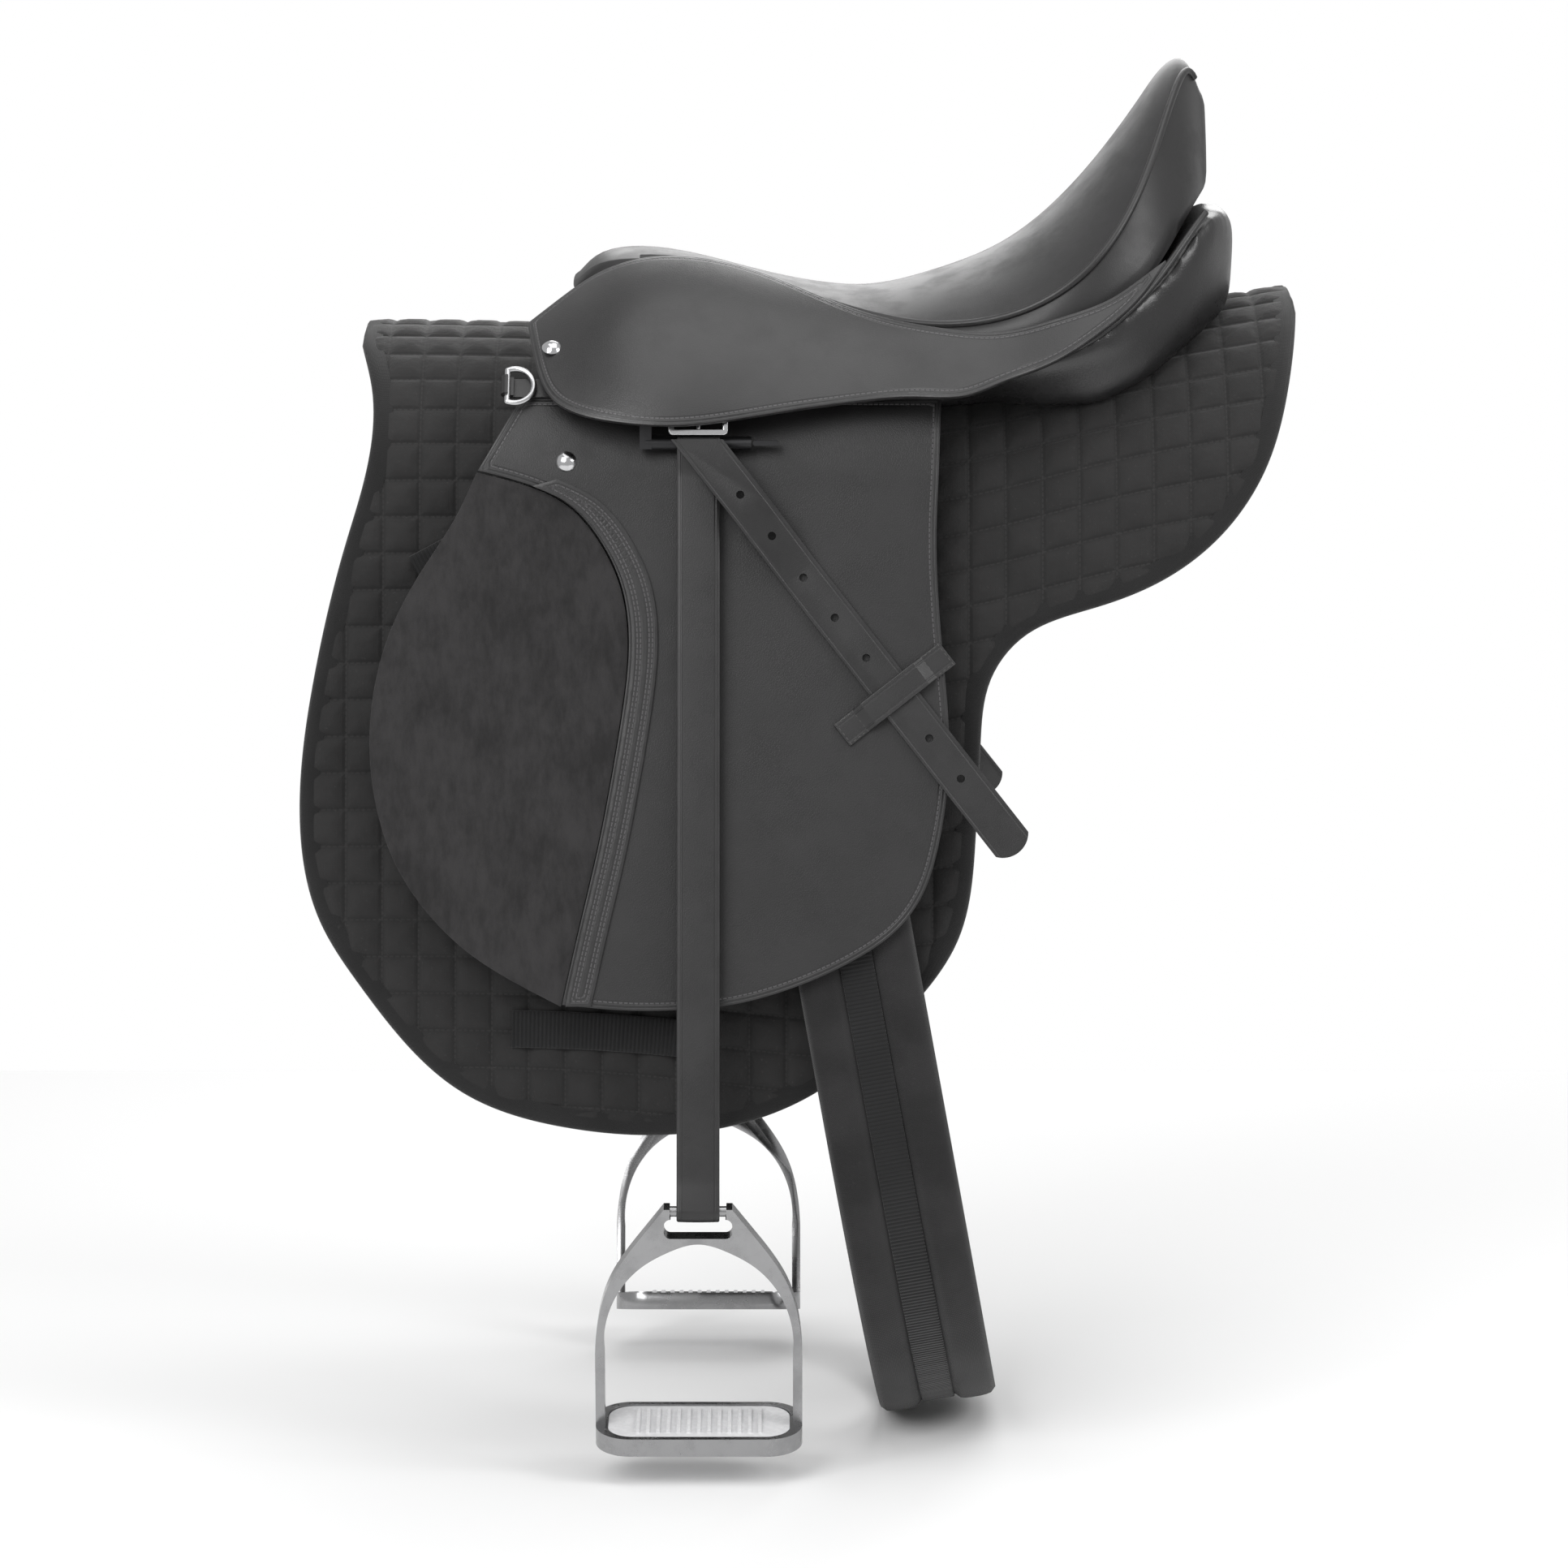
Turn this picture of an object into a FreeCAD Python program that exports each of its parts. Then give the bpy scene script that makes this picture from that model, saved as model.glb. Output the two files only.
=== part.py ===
"""English saddle with its quilted pad, girth, stirrup leathers and irons.

Frame: millimetres, +Z up, the pommel towards -X, the near (left) side towards -Y.
The origin is where the pad rests on the horse's back, under the lowest point of the seat.
Side pieces lie in layers. A layer is an arch over the back whose two legs splay outwards,
and a piece's depth is its distance out from the inside of the pad.
"""
import FreeCAD, Part
import math
import os
import Sketcher
from FreeCAD import Rotation, Vector

SIZES = {
    # the arch that the pad and the side pieces lie on
    "arch_half_width": 95.0, "leg_splay": 8.0, "flap_crown": 20.0, "leg_foot": -480.0,
    # saddle pad
    "pad_thick": 9.0, "pad_front": -299.0, "pad_rear": 263.0, "pad_binding_wide": 13.0,
    "pad_binding_thick": 1.2, "pad_seam_gap": 0.4, "pad_web_thick": 1.4,
    # layers, as depths from the inside of the pad
    "panel_depth": 9.7, "panel_thick": 6.2, "sweat_depth": 17.2, "sweat_thick": 2.3,
    "billet_depth": 23.3, "billet_thick": 3.3, "girth_depth": 22.0, "girth_thick": 7.5,
    "flap_depth": 33.6, "flap_thick": 3.5, "patch_thick": 6.3, "trim_thick": 1.5,
    "leather_thick": 3.2, "bar_depth": 45.0,
    # skirts: each is nailed to the tree in front of skirt_nailed_to
    "skirt_radius": 178.0, "skirt_thick": 3.0, "skirt_hinge_height": 0.0, "hinge_gap": 1.6,
    "skirt_nailed_to": -163.0,
    # stirrup bars, leathers and buckles: a strap's two runs are strap_slit apart, bar the
    # sewn_long at its top, and swing_gap below its loop
    "strap_slit": 0.5, "sewn_long": 8.0, "swing_gap": 3.2,
    "bar_x": -95.0, "bar_height": -45.0, "bar_radius": 4.0, "bar_long": 62.0, "shank_height": -15.5,
    "bar_leg": 7.0, "catch_long": 15.0, "catch_wide": 5.0, "catch_thick": 3.0,
    "strap_wide": 25.0, "strap_drop": 450.0, "loop_drop": 26.0,
    "buckle_wide": 35.0, "buckle_high": 22.0, "buckle_wire": 3.4, "buckle_rise": 14.5,
    "tail_long": 305.0, "tail_lean": 38.0, "tail_thick": 3.0, "hole_radius": 2.4,
    "hole_pitch": 30.0, "keeper_long": 79.0, "keeper_wide": 16.0, "keeper_thick": 2.2,
    "tail_play": 0.6, "keeper_down": 187.0,
    # stirrup irons, hung from their eye bar
    "iron_wide": 122.0, "iron_high": 147.0, "iron_deep": 54.0, "iron_arm": 5.5,
    "iron_blade": 11.0, "eye_bar": 6.2, "eye_wide": 40.0, "eye_high": 12.0,
    "plate_high": 11.0, "plate_rim": 5.0, "tread_high": 6.0, "tread_play": 0.25,
    "rib_high": 2.0, "rib_wide": 2.2, "rib_pitch": 6.0, "iron_tilt": 11.0,
    # studs and dees
    "stud_radius": 6.0, "stud_high": 3.0, "dee_wire": 1.7, "dee_high": 24.0,
    "dee_wide": 19.0, "dee_x": -208.0, "dee_height": -12.0, "dee_depth": 42.5,
    # girth and billets
    "girth_wide": 72.0, "girth_bottom": -650.6, "girth_top": -245.0, "girth_lean": 10.4,
    "girth_pivot_x": -55.0, "girth_pivot_height": -62.0, "web_wide": 20.0,
    "web_thick": 1.2, "billet_wide": 21.0, "billet_pitch": 38.0, "billet_long": 235.0,
    "girth_buckle_wide": 32.0, "girth_buckle_high": 28.0, "girth_buckle_wire": 3.4,
    # seat and tree
    "cover_thick": 2.0, "tree_thick": 9.0, "plate_steel": 3.0, "channel_half": 32.0,
    "arm_depth": 22.0, "arm_thick": 8.0, "arm_front": -160.0, "arm_rear": -108.0,
}

doc = FreeCAD.newDocument("english_saddle")
sheet = doc.addObject("Spreadsheet::Sheet", "Sizes")
for row, (alias, value) in enumerate(SIZES.items(), start=1):
    sheet.set(f"A{row}", alias)
    sheet.set(f"B{row}", str(value))
    sheet.setAlias(f"B{row}", alias)
doc.recompute()

NEAR, OFF = -1, 1
parts = []


def size(alias):
    """The value of a cell of the sheet, by its alias."""
    return float(sheet.get(alias))


SPLAY = math.radians(size("leg_splay"))
LEG = Vector(0, math.cos(SPLAY), math.sin(SPLAY))  # out from a leg, on the off side


# --- pieces of the document -------------------------------------------------------------

def keep(feature, label):
    """Gives a sub-part its name and puts it on the list of those that are written."""
    feature.Label = label
    parts.append(feature)
    return feature


def free_shape(label, shape):
    """A sub-part whose shape comes from Part's own functions."""
    feature = doc.addObject("Part::Feature", label)
    feature.Shape = shape
    return keep(feature, label)


def mirror_of(source, label):
    """The off side twin of a near side sub-part."""
    twin = doc.addObject("Part::Mirroring", label)
    twin.Source = source
    twin.Base = Vector(0, 0, 0)
    twin.Normal = Vector(0, 1, 0)
    return keep(twin, label)


def pair(name, shape):
    """A near side piece and its off side twin."""
    near = free_shape(f"{name}_left", shape)
    return near, mirror_of(near, f"{name}_right")


def pair_in_one(name, shape):
    """Both sides of a fastener in one sub-part, as separate solids."""
    both = Part.makeCompound([shape, shape.mirror(Vector(), Vector(0, 1, 0))])
    return free_shape(name, both)


# --- outlines and layers ----------------------------------------------------------------

def outline(*stretches):
    """A closed outline in the side view. A stretch of two points is straight, a longer
    one is a smooth curve, and each starts where the one before it ends."""
    edges = []
    for stretch in stretches:
        points = [Vector(x, 0, z) for x, z in stretch]
        if len(points) == 2:
            edges.append(Part.LineSegment(*points).toShape())
        else:
            curve = Part.BSplineCurve()
            curve.interpolate(points)
            edges.append(curve.toShape())
    return Part.Face(Part.Wire(edges))


def side_box(x0, x1, z0, z1):
    """A near side block that keeps what lies inside a rectangle of the side view."""
    return Part.makeBox(x1 - x0, 400, z1 - z0, Vector(x0, -400, z0))


def box_outline(x0, x1, z0, z1):
    """A plain rectangle in the side view."""
    return outline([(x0, z0), (x1, z0)], [(x1, z0), (x1, z1)],
                   [(x1, z1), (x0, z1)], [(x0, z1), (x0, z0)])


def arch_radius(crown, half_width):
    """The radius of the arch that touches both legs and whose top is at the crown."""
    reach = half_width * math.cos(SPLAY) - crown * math.sin(SPLAY)
    return reach / (1 - math.sin(SPLAY))


def arch_point(depth, crown, half_width, turn):
    """A point on the near side's arch, turned from straight out (0) towards the top."""
    radius = arch_radius(crown, half_width)
    reach = radius + depth
    return Vector(0, -reach * math.cos(turn), crown - radius + reach * math.sin(turn))


def arch_band(x, inner, outer, crown, half_width, seam=0.0, foot=None):
    """The closed section of a near side layer between two depths, at a station x."""
    top = math.pi / 2

    def leg_foot(depth):
        start = arch_point(depth, crown, half_width, SPLAY)
        drop = start.z - (size("leg_foot") if foot is None else foot)
        return start + Vector(0, -drop * math.tan(SPLAY), -drop)

    def arc(depth):
        reach = arch_radius(crown, half_width) + depth
        last = top - math.asin(seam / reach)
        turns = (SPLAY, (SPLAY + last) / 2, last)
        return [arch_point(depth, crown, half_width, turn) for turn in turns]

    outside, inside = arc(outer), arc(inner)
    edges = [
        Part.LineSegment(leg_foot(outer), outside[0]).toShape(),
        Part.Arc(*outside).toShape(),
        Part.LineSegment(outside[2], inside[2]).toShape(),
        Part.Arc(*reversed(inside)).toShape(),
        Part.LineSegment(inside[0], leg_foot(inner)).toShape(),
        Part.LineSegment(leg_foot(inner), leg_foot(outer)).toShape(),
    ]
    wire = Part.Wire(edges)
    wire.translate(Vector(x, 0, 0))
    return wire


def straight_layer(inner, thick, x0=-400.0, x1=400.0):
    """A near side layer of the arch that the flaps lie on, the same all along X."""
    wire = arch_band(x0, inner, inner + thick, size("flap_crown"), size("arch_half_width"),
                     seam=1.0, foot=-700.0)
    return Part.Face(wire).extrude(Vector(x1 - x0, 0, 0))


def layer_piece(face, inner, thick):
    """The part of a straight layer that lies inside an outline."""
    prism = face.extrude(Vector(0, -400, 0))
    return solid_of(straight_layer(inner, thick).common(prism))


def solid_of(shape):
    """The one solid in the result of a boolean."""
    if len(shape.Solids) != 1:
        raise RuntimeError(f"expected one solid and got {len(shape.Solids)}")
    return shape.Solids[0]


def leg_out(depth, height):
    """How far out from the middle a leg's layer is at a height."""
    return (size("arch_half_width") - height * math.tan(SPLAY) + depth / math.cos(SPLAY))


def on_leg(shape, x, depth, height):
    """Puts a piece that was made flat on the near side's leg. The piece was made with X
    along the saddle, Z up the leg and -Y out of it, about the origin."""
    tilted = shape.copy()
    tilted.rotate(Vector(), Vector(1, 0, 0), -size("leg_splay"))
    tilted.translate(Vector(x, -leg_out(depth, height), height))
    return tilted


def flat_strap(wide, long, thick, x=0.0, top=0.0):
    """A strap hanging straight down from its top, with its back on the XZ plane."""
    return Part.makeBox(wide, thick, long, Vector(x - wide / 2, -thick, top - long))


def frame_shape(wide, high, wire):
    """A rectangular buckle frame of square wire, lying in the XZ plane."""
    frame = Part.makeBox(wide, wire, high, Vector(-wide / 2, -wire, -high / 2))
    hole = Part.makeBox(wide - 2 * wire, 3 * wire, high - 2 * wire,
                        Vector(-wide / 2 + wire, -2 * wire, -high / 2 + wire))
    frame = frame.makeFillet(wire * 0.9, [e for e in frame.Edges if runs_along(e, 1)])
    return frame.cut(hole).Solids[0]


def runs_along(edge, axis):
    """Whether a straight edge runs along an axis, 0 for X, 1 for Y and 2 for Z."""
    ends = [v.Point for v in edge.Vertexes]
    step = ends[-1] - ends[0]
    return abs(abs(step[axis]) - step.Length) < 1e-6 and step.Length > 1e-6


# --- parametric bodies ------------------------------------------------------------------

def new_body(name):
    """A PartDesign body."""
    return doc.addObject("PartDesign::Body", name)


def new_sketch(body, role, name):
    """A sketch on one of its body's origin planes."""
    sketch = body.newObject("Sketcher::SketchObject", name)
    plane = next(f for f in body.Origin.OriginFeatures if f.Role == role)
    sketch.AttachmentSupport = [(plane, "")]
    sketch.MapMode = "FlatFace"
    return sketch


def centred_rectangle(sketch, wide, high):
    """A rectangle about the sketch's origin, with its sizes bound to the sheet."""
    w, h = 10.0, 6.0
    corners = [Vector(-w, -h, 0), Vector(w, -h, 0), Vector(w, h, 0), Vector(-w, h, 0)]
    for i in range(4):
        sketch.addGeometry(Part.LineSegment(corners[i], corners[(i + 1) % 4]), False)
    for i in range(4):
        sketch.addConstraint(Sketcher.Constraint("Coincident", i, 2, (i + 1) % 4, 1))
    for i, kind in enumerate(("Horizontal", "Vertical", "Horizontal", "Vertical")):
        sketch.addConstraint(Sketcher.Constraint(kind, i))
    sketch.addConstraint(Sketcher.Constraint("Symmetric", 0, 1, 2, 1, -1, 1))
    for edge, kind, expression in ((0, "DistanceX", wide), (1, "DistanceY", high)):
        long = 2 * w if edge == 0 else 2 * h
        index = sketch.addConstraint(Sketcher.Constraint(kind, edge, 1, edge, 2, long))
        sketch.setExpression(f"Constraints[{index}]", expression)


def feature_of(body, sketch, kind, name, length, reverse=False):
    """A Pad or Pocket of a sketch, whose length is bound to the sheet."""
    feature = body.newObject(kind, name)
    feature.Profile = sketch
    feature.setExpression("Length", length)
    feature.Reversed = reverse
    return feature


# --- the saddle pad ---------------------------------------------------------------------

PAD_STATIONS = [  # x, crown, half width: the back dips in the middle, widens to the rear
    (-330, 19, 91), (-240, 18, 93), (-150, 14, 94), (-60, 4, 94), (20, 0, 94),
    (90, 9, 100), (150, 21, 107), (210, 31, 111), (290, 44, 114),
]


def pad_layer(inner, outer):
    """The whole near side sheet of a layer of the pad, before it is cut to its outline."""
    wires = [arch_band(x, inner, outer, crown, half, seam=size("pad_seam_gap"))
             for x, crown, half in PAD_STATIONS]
    return Part.makeLoft(wires, True, False)


def pad_outline(inset=0.0):
    """The pad's outline in the side view, drawn in by an inset."""
    front, rear = size("pad_front") + inset, size("pad_rear") - inset
    top, low = 90.0, inset
    nose = [(front, top), (front, 10), (-291 + inset, -15), (-291 + inset, -53),
            (-305 + inset, -106), (-324 + inset, -187), (-332 + inset, -262),
            (-320 + inset, -328), (-296 + inset * 0.8, -366 + inset * 0.6),
            (-234 + low * 0.5, -429 + low * 0.9), (-172, -449 + low), (-120, -453 + low),
            (-62 - low * 0.3, -444 + low), (-24 - low * 0.5, -427 + low * 0.9),
            (24 - low * 0.7, -385 + low * 0.7), (58 - low, -338 + low * 0.3),
            (68 - inset, -280), (71 - inset, -225), (77 - inset, -186 + inset * 0.4),
            (98 - inset * 0.4, -159 + inset), (140, -142 + inset),
            (179 - inset * 0.4, -126 + inset), (214 - inset * 0.7, -99 + inset * 0.7),
            (240 - inset, -60), (254 - inset, -15), (rear, 30), (rear, top)]
    return outline(nose[:2], nose[1:-1], nose[-2:], [nose[-1], nose[0]])


def make_pad():
    """Two quilted halves, sewn along the spine, and the bound edge on them."""
    thick = size("pad_thick")
    prism = pad_outline().extrude(Vector(0, -400, 0))
    half = solid_of(pad_layer(0.0, thick).common(prism))
    pair("saddle_pad", half)
    inner_prism = pad_outline(size("pad_binding_wide")).extrude(Vector(0, -400, 0))
    face = pad_layer(thick + 0.05, thick + 0.05 + size("pad_binding_thick"))
    rim = face.common(prism).cut(inner_prism)
    pair("pad_binding", max(rim.Solids, key=lambda s: s.Volume))
    doc.recompute()


# --- seat, tree and panels --------------------------------------------------------------

SEAT_STATIONS = [  # x, middle top, rim half width, rim, lower half width, lower, underside
    (-170, 55, 40, 50, 46, 44, 47), (-157, 67, 50, 60, 54, 52, 55),
    (-135, 71, 58, 63, 61, 55, 58), (-97, 66, 59, 61, 62, 53, 56),
    (-58, 56, 64, 50, 67, 42, 45), (-28, 50, 74, 40, 77, 33, 36),
    (10, 48, 94, 29, 97, 22, 30), (48, 57, 113, 24, 116, 15, 34),
    (86, 72, 128, 29, 131, 14, 42), (124, 101, 133, 48, 136, 26, 62),
    (153, 134, 120, 80, 131, 40, 84), (174, 163, 92, 122, 120, 58, 100),
    (189, 182, 55, 160, 102, 80, 108), (199, 184, 30, 176, 82, 96, 112),
    (209, 165, 18, 160, 45, 110, 122),
]


def seat_section(x, middle, rim_out, rim, low_out, low, under, inset, sink):
    """The closed section of the seat at a station, drawn in all round, bar its underside
    which may be sunk instead."""
    top = Part.Arc(Vector(x, -(rim_out - inset), rim - inset * 0.5),
                   Vector(x, 0, middle - inset),
                   Vector(x, rim_out - inset, rim - inset * 0.5))
    bottom = Part.Arc(Vector(x, low_out - inset, low - sink), Vector(x, 0, under - sink),
                      Vector(x, -(low_out - inset), low - sink))
    corners = [top.StartPoint, top.EndPoint, bottom.StartPoint, bottom.EndPoint]
    return Part.Wire([
        top.toShape(), Part.LineSegment(corners[1], corners[2]).toShape(),
        bottom.toShape(), Part.LineSegment(corners[3], corners[0]).toShape()])


def make_seat():
    """The foam seat on its webbing, under a leather cover."""
    whole = Part.makeLoft([seat_section(*s, 0.0, 0.0) for s in SEAT_STATIONS], True, False)
    thick = size("cover_thick")
    inner = [list(s) for s in SEAT_STATIONS]
    inner[0][0] += thick
    inner[-1][0] -= thick
    core = Part.makeLoft([seat_section(*s, thick, 3.0) for s in inner], True, False)
    free_shape("seat_cover", max(whole.cut(core).Solids, key=lambda s: s.Volume))
    free_shape("seat_foam", solid_of(whole.common(core)))


def under_seat_section(station, share, gap, thick):
    """A section that follows the underside of the seat over a share of its width."""
    x, (low_out, low, under) = station[0], station[4:]
    out = low_out * share
    edge, middle = under + (low - under) * share ** 2 - gap, under - gap
    top = Part.Arc(Vector(x, -out, edge), Vector(x, 0, middle), Vector(x, out, edge))
    base = Part.Arc(Vector(x, out, edge - thick), Vector(x, 0, middle - thick),
                    Vector(x, -out, edge - thick))
    return Part.Wire([
        top.toShape(), Part.LineSegment(top.EndPoint, base.StartPoint).toShape(),
        base.toShape(), Part.LineSegment(base.EndPoint, top.StartPoint).toShape()])


def make_tree():
    """Webbing under the seat, the tree with its two arms, and the steel head plate."""
    web = [under_seat_section(station, 0.6, 2.6, 1.3) for station in SEAT_STATIONS[2:-4]]
    free_shape("seat_webbing", Part.makeLoft(web, True, False))
    plank = [under_seat_section(station, 0.75, 6.5, size("tree_thick"))
             for station in SEAT_STATIONS[2:-4]]
    plank.append(under_seat_section(SEAT_STATIONS[-4], 0.5, 6.5, size("tree_thick")))
    plank = Part.makeLoft(plank, True, False)
    front, rear = size("arm_front"), size("arm_rear")
    arm = straight_layer(size("arm_depth"), size("arm_thick"), front, rear)
    arm = solid_of(arm.common(side_box(front, rear, -32, 80)))
    tree = plank.fuse([arm, arm.mirror(Vector(), Vector(0, 1, 0))])
    free_shape("tree", solid_of(tree))
    steel, long = size("plate_steel"), 30.0
    inner = size("arm_depth") - steel - 0.2
    half = straight_layer(inner, steel, front, front + long)
    half = solid_of(half.common(side_box(front, front + long, -6, 80)))
    keystone = Part.makeBox(long, 4, steel - 0.4,
                            Vector(front, -2, size("flap_crown") + inner + 0.2))
    arch = half.fuse([half.mirror(Vector(), Vector(0, 1, 0)), keystone])
    free_shape("head_plate", solid_of(arch))


PANEL_STATIONS = [  # x, lower edge, side half width, side height, top at the channel
    (-158, -50, 72, 2, 16), (-110, -50, 74, 2, 18), (-50, -46, 80, -2, 15),
    (10, -38, 90, -6, 11), (52, -30, 97, -6, 12), (85, -29, 130, -2, 19),
    (119, -29, 140, 4, 36), (150, -23, 134, 22, 52), (180, -8, 116, 54, 73),
    (205, 12, 96, 88, 100), (220, 26, 72, 92, 98), (227, 36, 54, 82, 86),
]


def pad_shape_at(x):
    """The crown and half width of the pad at a station, by interpolation."""
    for before, after in zip(PAD_STATIONS, PAD_STATIONS[1:]):
        if before[0] <= x <= after[0]:
            share = (x - before[0]) / (after[0] - before[0])
            return [before[i] + share * (after[i] - before[i]) for i in (1, 2)]
    raise ValueError(x)


def panel_section(x, low, side_out, side, top):
    """The closed section of the near side panel: its sole lies on the pad."""
    crown, half = pad_shape_at(x)
    radius = arch_radius(crown, half)
    reach = radius + size("panel_depth")
    channel = size("channel_half")

    def sole(out):
        return Vector(x, -out, crown - radius + math.sqrt(reach ** 2 - out ** 2))

    edge_out = math.sqrt(reach ** 2 - (low - crown + radius) ** 2)
    inner, outer = sole(channel), sole(edge_out)
    bottom = Part.Arc(inner, sole((channel + edge_out) / 2), outer)
    out_of_sole = (outer - Vector(x, 0, crown - radius)).normalize()
    toe = outer + out_of_sole * size("panel_thick")
    wall, roof = Vector(x, -side_out, side), Vector(x, -channel, top)
    return Part.Wire([
        bottom.toShape(), Part.LineSegment(outer, toe).toShape(),
        Part.LineSegment(toe, wall).toShape(), Part.LineSegment(wall, roof).toShape(),
        Part.LineSegment(roof, inner).toShape()])


def make_panels():
    """The flocked cushions that carry the saddle, and the thin panel under each flap."""
    cushion = Part.makeLoft([panel_section(*s) for s in PANEL_STATIONS], True, False)
    back = pad_layer(-40.0, size("panel_depth"))
    pair("panel_cushion", solid_of(cushion.cut(back)))
    skirt_of_panel = outline(
        [(-190, -56), (30, -56)],
        [(30, -56), (28, -200), (20, -270), (-10, -318), (-70, -345), (-140, -350)],
        [(-140, -350), (-205, -325), (-255, -270), (-268, -215), (-252, -150),
         (-222, -95), (-190, -56)])
    pair("panel_lower", layer_piece(skirt_of_panel, size("panel_depth"),
                                    size("panel_thick")))


# --- flaps and skirts -------------------------------------------------------------------

TRIM_LINE = [(-225, -62), (-195, -70), (-171, -82), (-152, -104), (-141, -127),
             (-136, -160), (-139, -198), (-145, -235), (-154, -282), (-165, -329),
             (-175, -373)]
FLAP_REAR = [(-175, -373), (-142, -376), (-107, -376), (-76, -373), (-48, -366),
             (-24, -357), (0, -345), (23, -328), (38, -306), (46, -280), (51, -249),
             (52, -212), (49, -174), (46, -136), (45, -94), (46, -70)]
PATCH_FRONT = [(-175, -371), (-199, -362), (-227, -345), (-252, -322), (-273, -291),
               (-284, -259), (-288, -231), (-287, -198), (-278, -160), (-259, -122),
               (-238, -89), (-225, -62)]


def shifted(points, dx, dz=0.0):
    """A line of the side view moved over."""
    return [(x + dx, z + dz) for x, z in points]


def make_flaps():
    """The large flaps, their suede knee patches and the fixed tops they hang from."""
    depth, thick = size("flap_depth"), size("flap_thick")
    bend = size("bar_height")
    gap = size("hinge_gap")
    flap = outline([(-204, bend - gap), (-225, -62)], TRIM_LINE, FLAP_REAR,
                   [FLAP_REAR[-1], (50, bend - gap)],
                   [(50, bend - gap), (-204, bend - gap)])
    pair("flap", layer_piece(flap, depth, thick))
    back = shifted(TRIM_LINE, -0.8, -1.0)
    front = [back[-1]] + shifted(PATCH_FRONT[1:-1], 0.0) + [back[0]]
    patch = outline(back, front)
    pair("knee_patch", layer_piece(patch, depth, size("patch_thick")))
    strip = [(x + 2.0, z - 0.5) for x, z in TRIM_LINE[1:]]
    wide = [(x + 15.0, z + 4.0 * (1 - i / 9)) for i, (x, z) in enumerate(strip)]
    trim = outline(strip, [strip[-1], wide[-1]], wide[::-1], [wide[0], strip[0]])
    pair("patch_trim", layer_piece(trim, depth + thick + 0.1, size("trim_thick")))
    top = box_outline(-200, 48, bend + gap, -20.5)
    pair("flap_top", layer_piece(top, depth, thick))
    under = outline(
        [(-180, -8), (38, -8)], [(38, -8), (36, -200)],
        [(36, -200), (28, -275), (-10, -322), (-70, -346), (-140, -350)],
        [(-140, -350), (-152, -300), (-140, -220), (-138, -150), (-155, -100),
         (-180, -70)], [(-180, -70), (-180, -8)])
    pair("sweat_flap", layer_piece(under, size("sweat_depth"), size("sweat_thick")))


SKIRT_STATIONS = [(-205, -137), (-170, -121), (-140, -106), (-97, -103.5),
                  (-28, -118), (10, -118), (48, -108), (90, -97), (124, -80),
                  (150, -70), (190, -56)]
SKIRT_LOW = [(-197, 22), (-191, 0), (-181, -20), (-167, -28), (-143, -33), (-109, -35),
             (-76, -32), (-43, -27), (-5, -22), (33, -19), (62, -18), (81, -11),
             (110, 0), (138, 17), (163, 38), (180, 60)]
SKIRT_TOP = [(180, 60), (166, 50), (148, 38), (119, 27), (81, 18), (48, 20), (10, 27),
             (-28, 40), (-62, 53), (-97, 61), (-126, 61), (-155, 52), (-179, 36),
             (-197, 22)]


def skirt_sheet():
    """The curved sheet that the near side skirt is cut from."""
    inner = size("skirt_radius")
    outer = inner + size("skirt_thick")

    def section(x, middle):
        def arc(radius):
            return Part.Arc(*[Vector(x, -radius * math.cos(turn),
                                     middle + radius * math.sin(turn))
                              for turn in (0.15, 0.85, 1.45)])
        near, far = arc(inner), arc(outer)
        return Part.Wire([
            near.toShape(), Part.LineSegment(near.EndPoint, far.EndPoint).toShape(),
            far.toShape(), Part.LineSegment(far.StartPoint, near.StartPoint).toShape()])

    return Part.makeLoft([section(*s) for s in SKIRT_STATIONS], True, False)


def make_skirts():
    """The small flaps that cover the stirrup bars: a sewn top and the part that lifts."""
    whole = outline(SKIRT_LOW, SKIRT_TOP).extrude(Vector(0, -400, 0))
    leather = skirt_sheet().common(whole)
    bend, gap = size("skirt_hinge_height"), size("hinge_gap") / 2
    nailed = size("skirt_nailed_to")
    lifts = side_box(nailed + gap, 400, -100, bend - gap)
    stays = side_box(-400, 400, bend + gap, 200).fuse(
        side_box(-400, nailed - gap, -100, bend + 2 * gap))
    pair("skirt", max(leather.common(lifts).Solids, key=lambda s: s.Volume))
    pair("skirt_top", max(leather.common(stays).Solids, key=lambda s: s.Volume))


# --- studs, dees and the stirrup bar ----------------------------------------------------

def stud_blank():
    """A domed nail head, standing on the XY plane."""
    shank = doc.addObject("Part::Cylinder", "StudRim")
    shank.setExpression("Radius", "Sizes.stud_radius")
    shank.setExpression("Height", "Sizes.stud_high")
    ball_radius = "(Sizes.stud_radius ^ 2 + Sizes.stud_high ^ 2) / (2 * Sizes.stud_high)"
    ball = doc.addObject("Part::Sphere", "StudBall")
    ball.setExpression("Radius", ball_radius)
    ball.setExpression("Placement.Base.z", f"Sizes.stud_high - {ball_radius}")
    dome = doc.addObject("Part::Common", "StudDome")
    dome.Base = shank
    dome.Tool = ball
    doc.recompute()
    return dome.Shape.copy()


def facing_out(shape, point, normal):
    """Moves a shape made about Z so that its Z points along a normal at a point."""
    turned = shape.copy()
    spin = Rotation(Vector(0, 0, 1), normal)
    turned.Placement = FreeCAD.Placement(point, spin).multiply(turned.Placement)
    return turned


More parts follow.
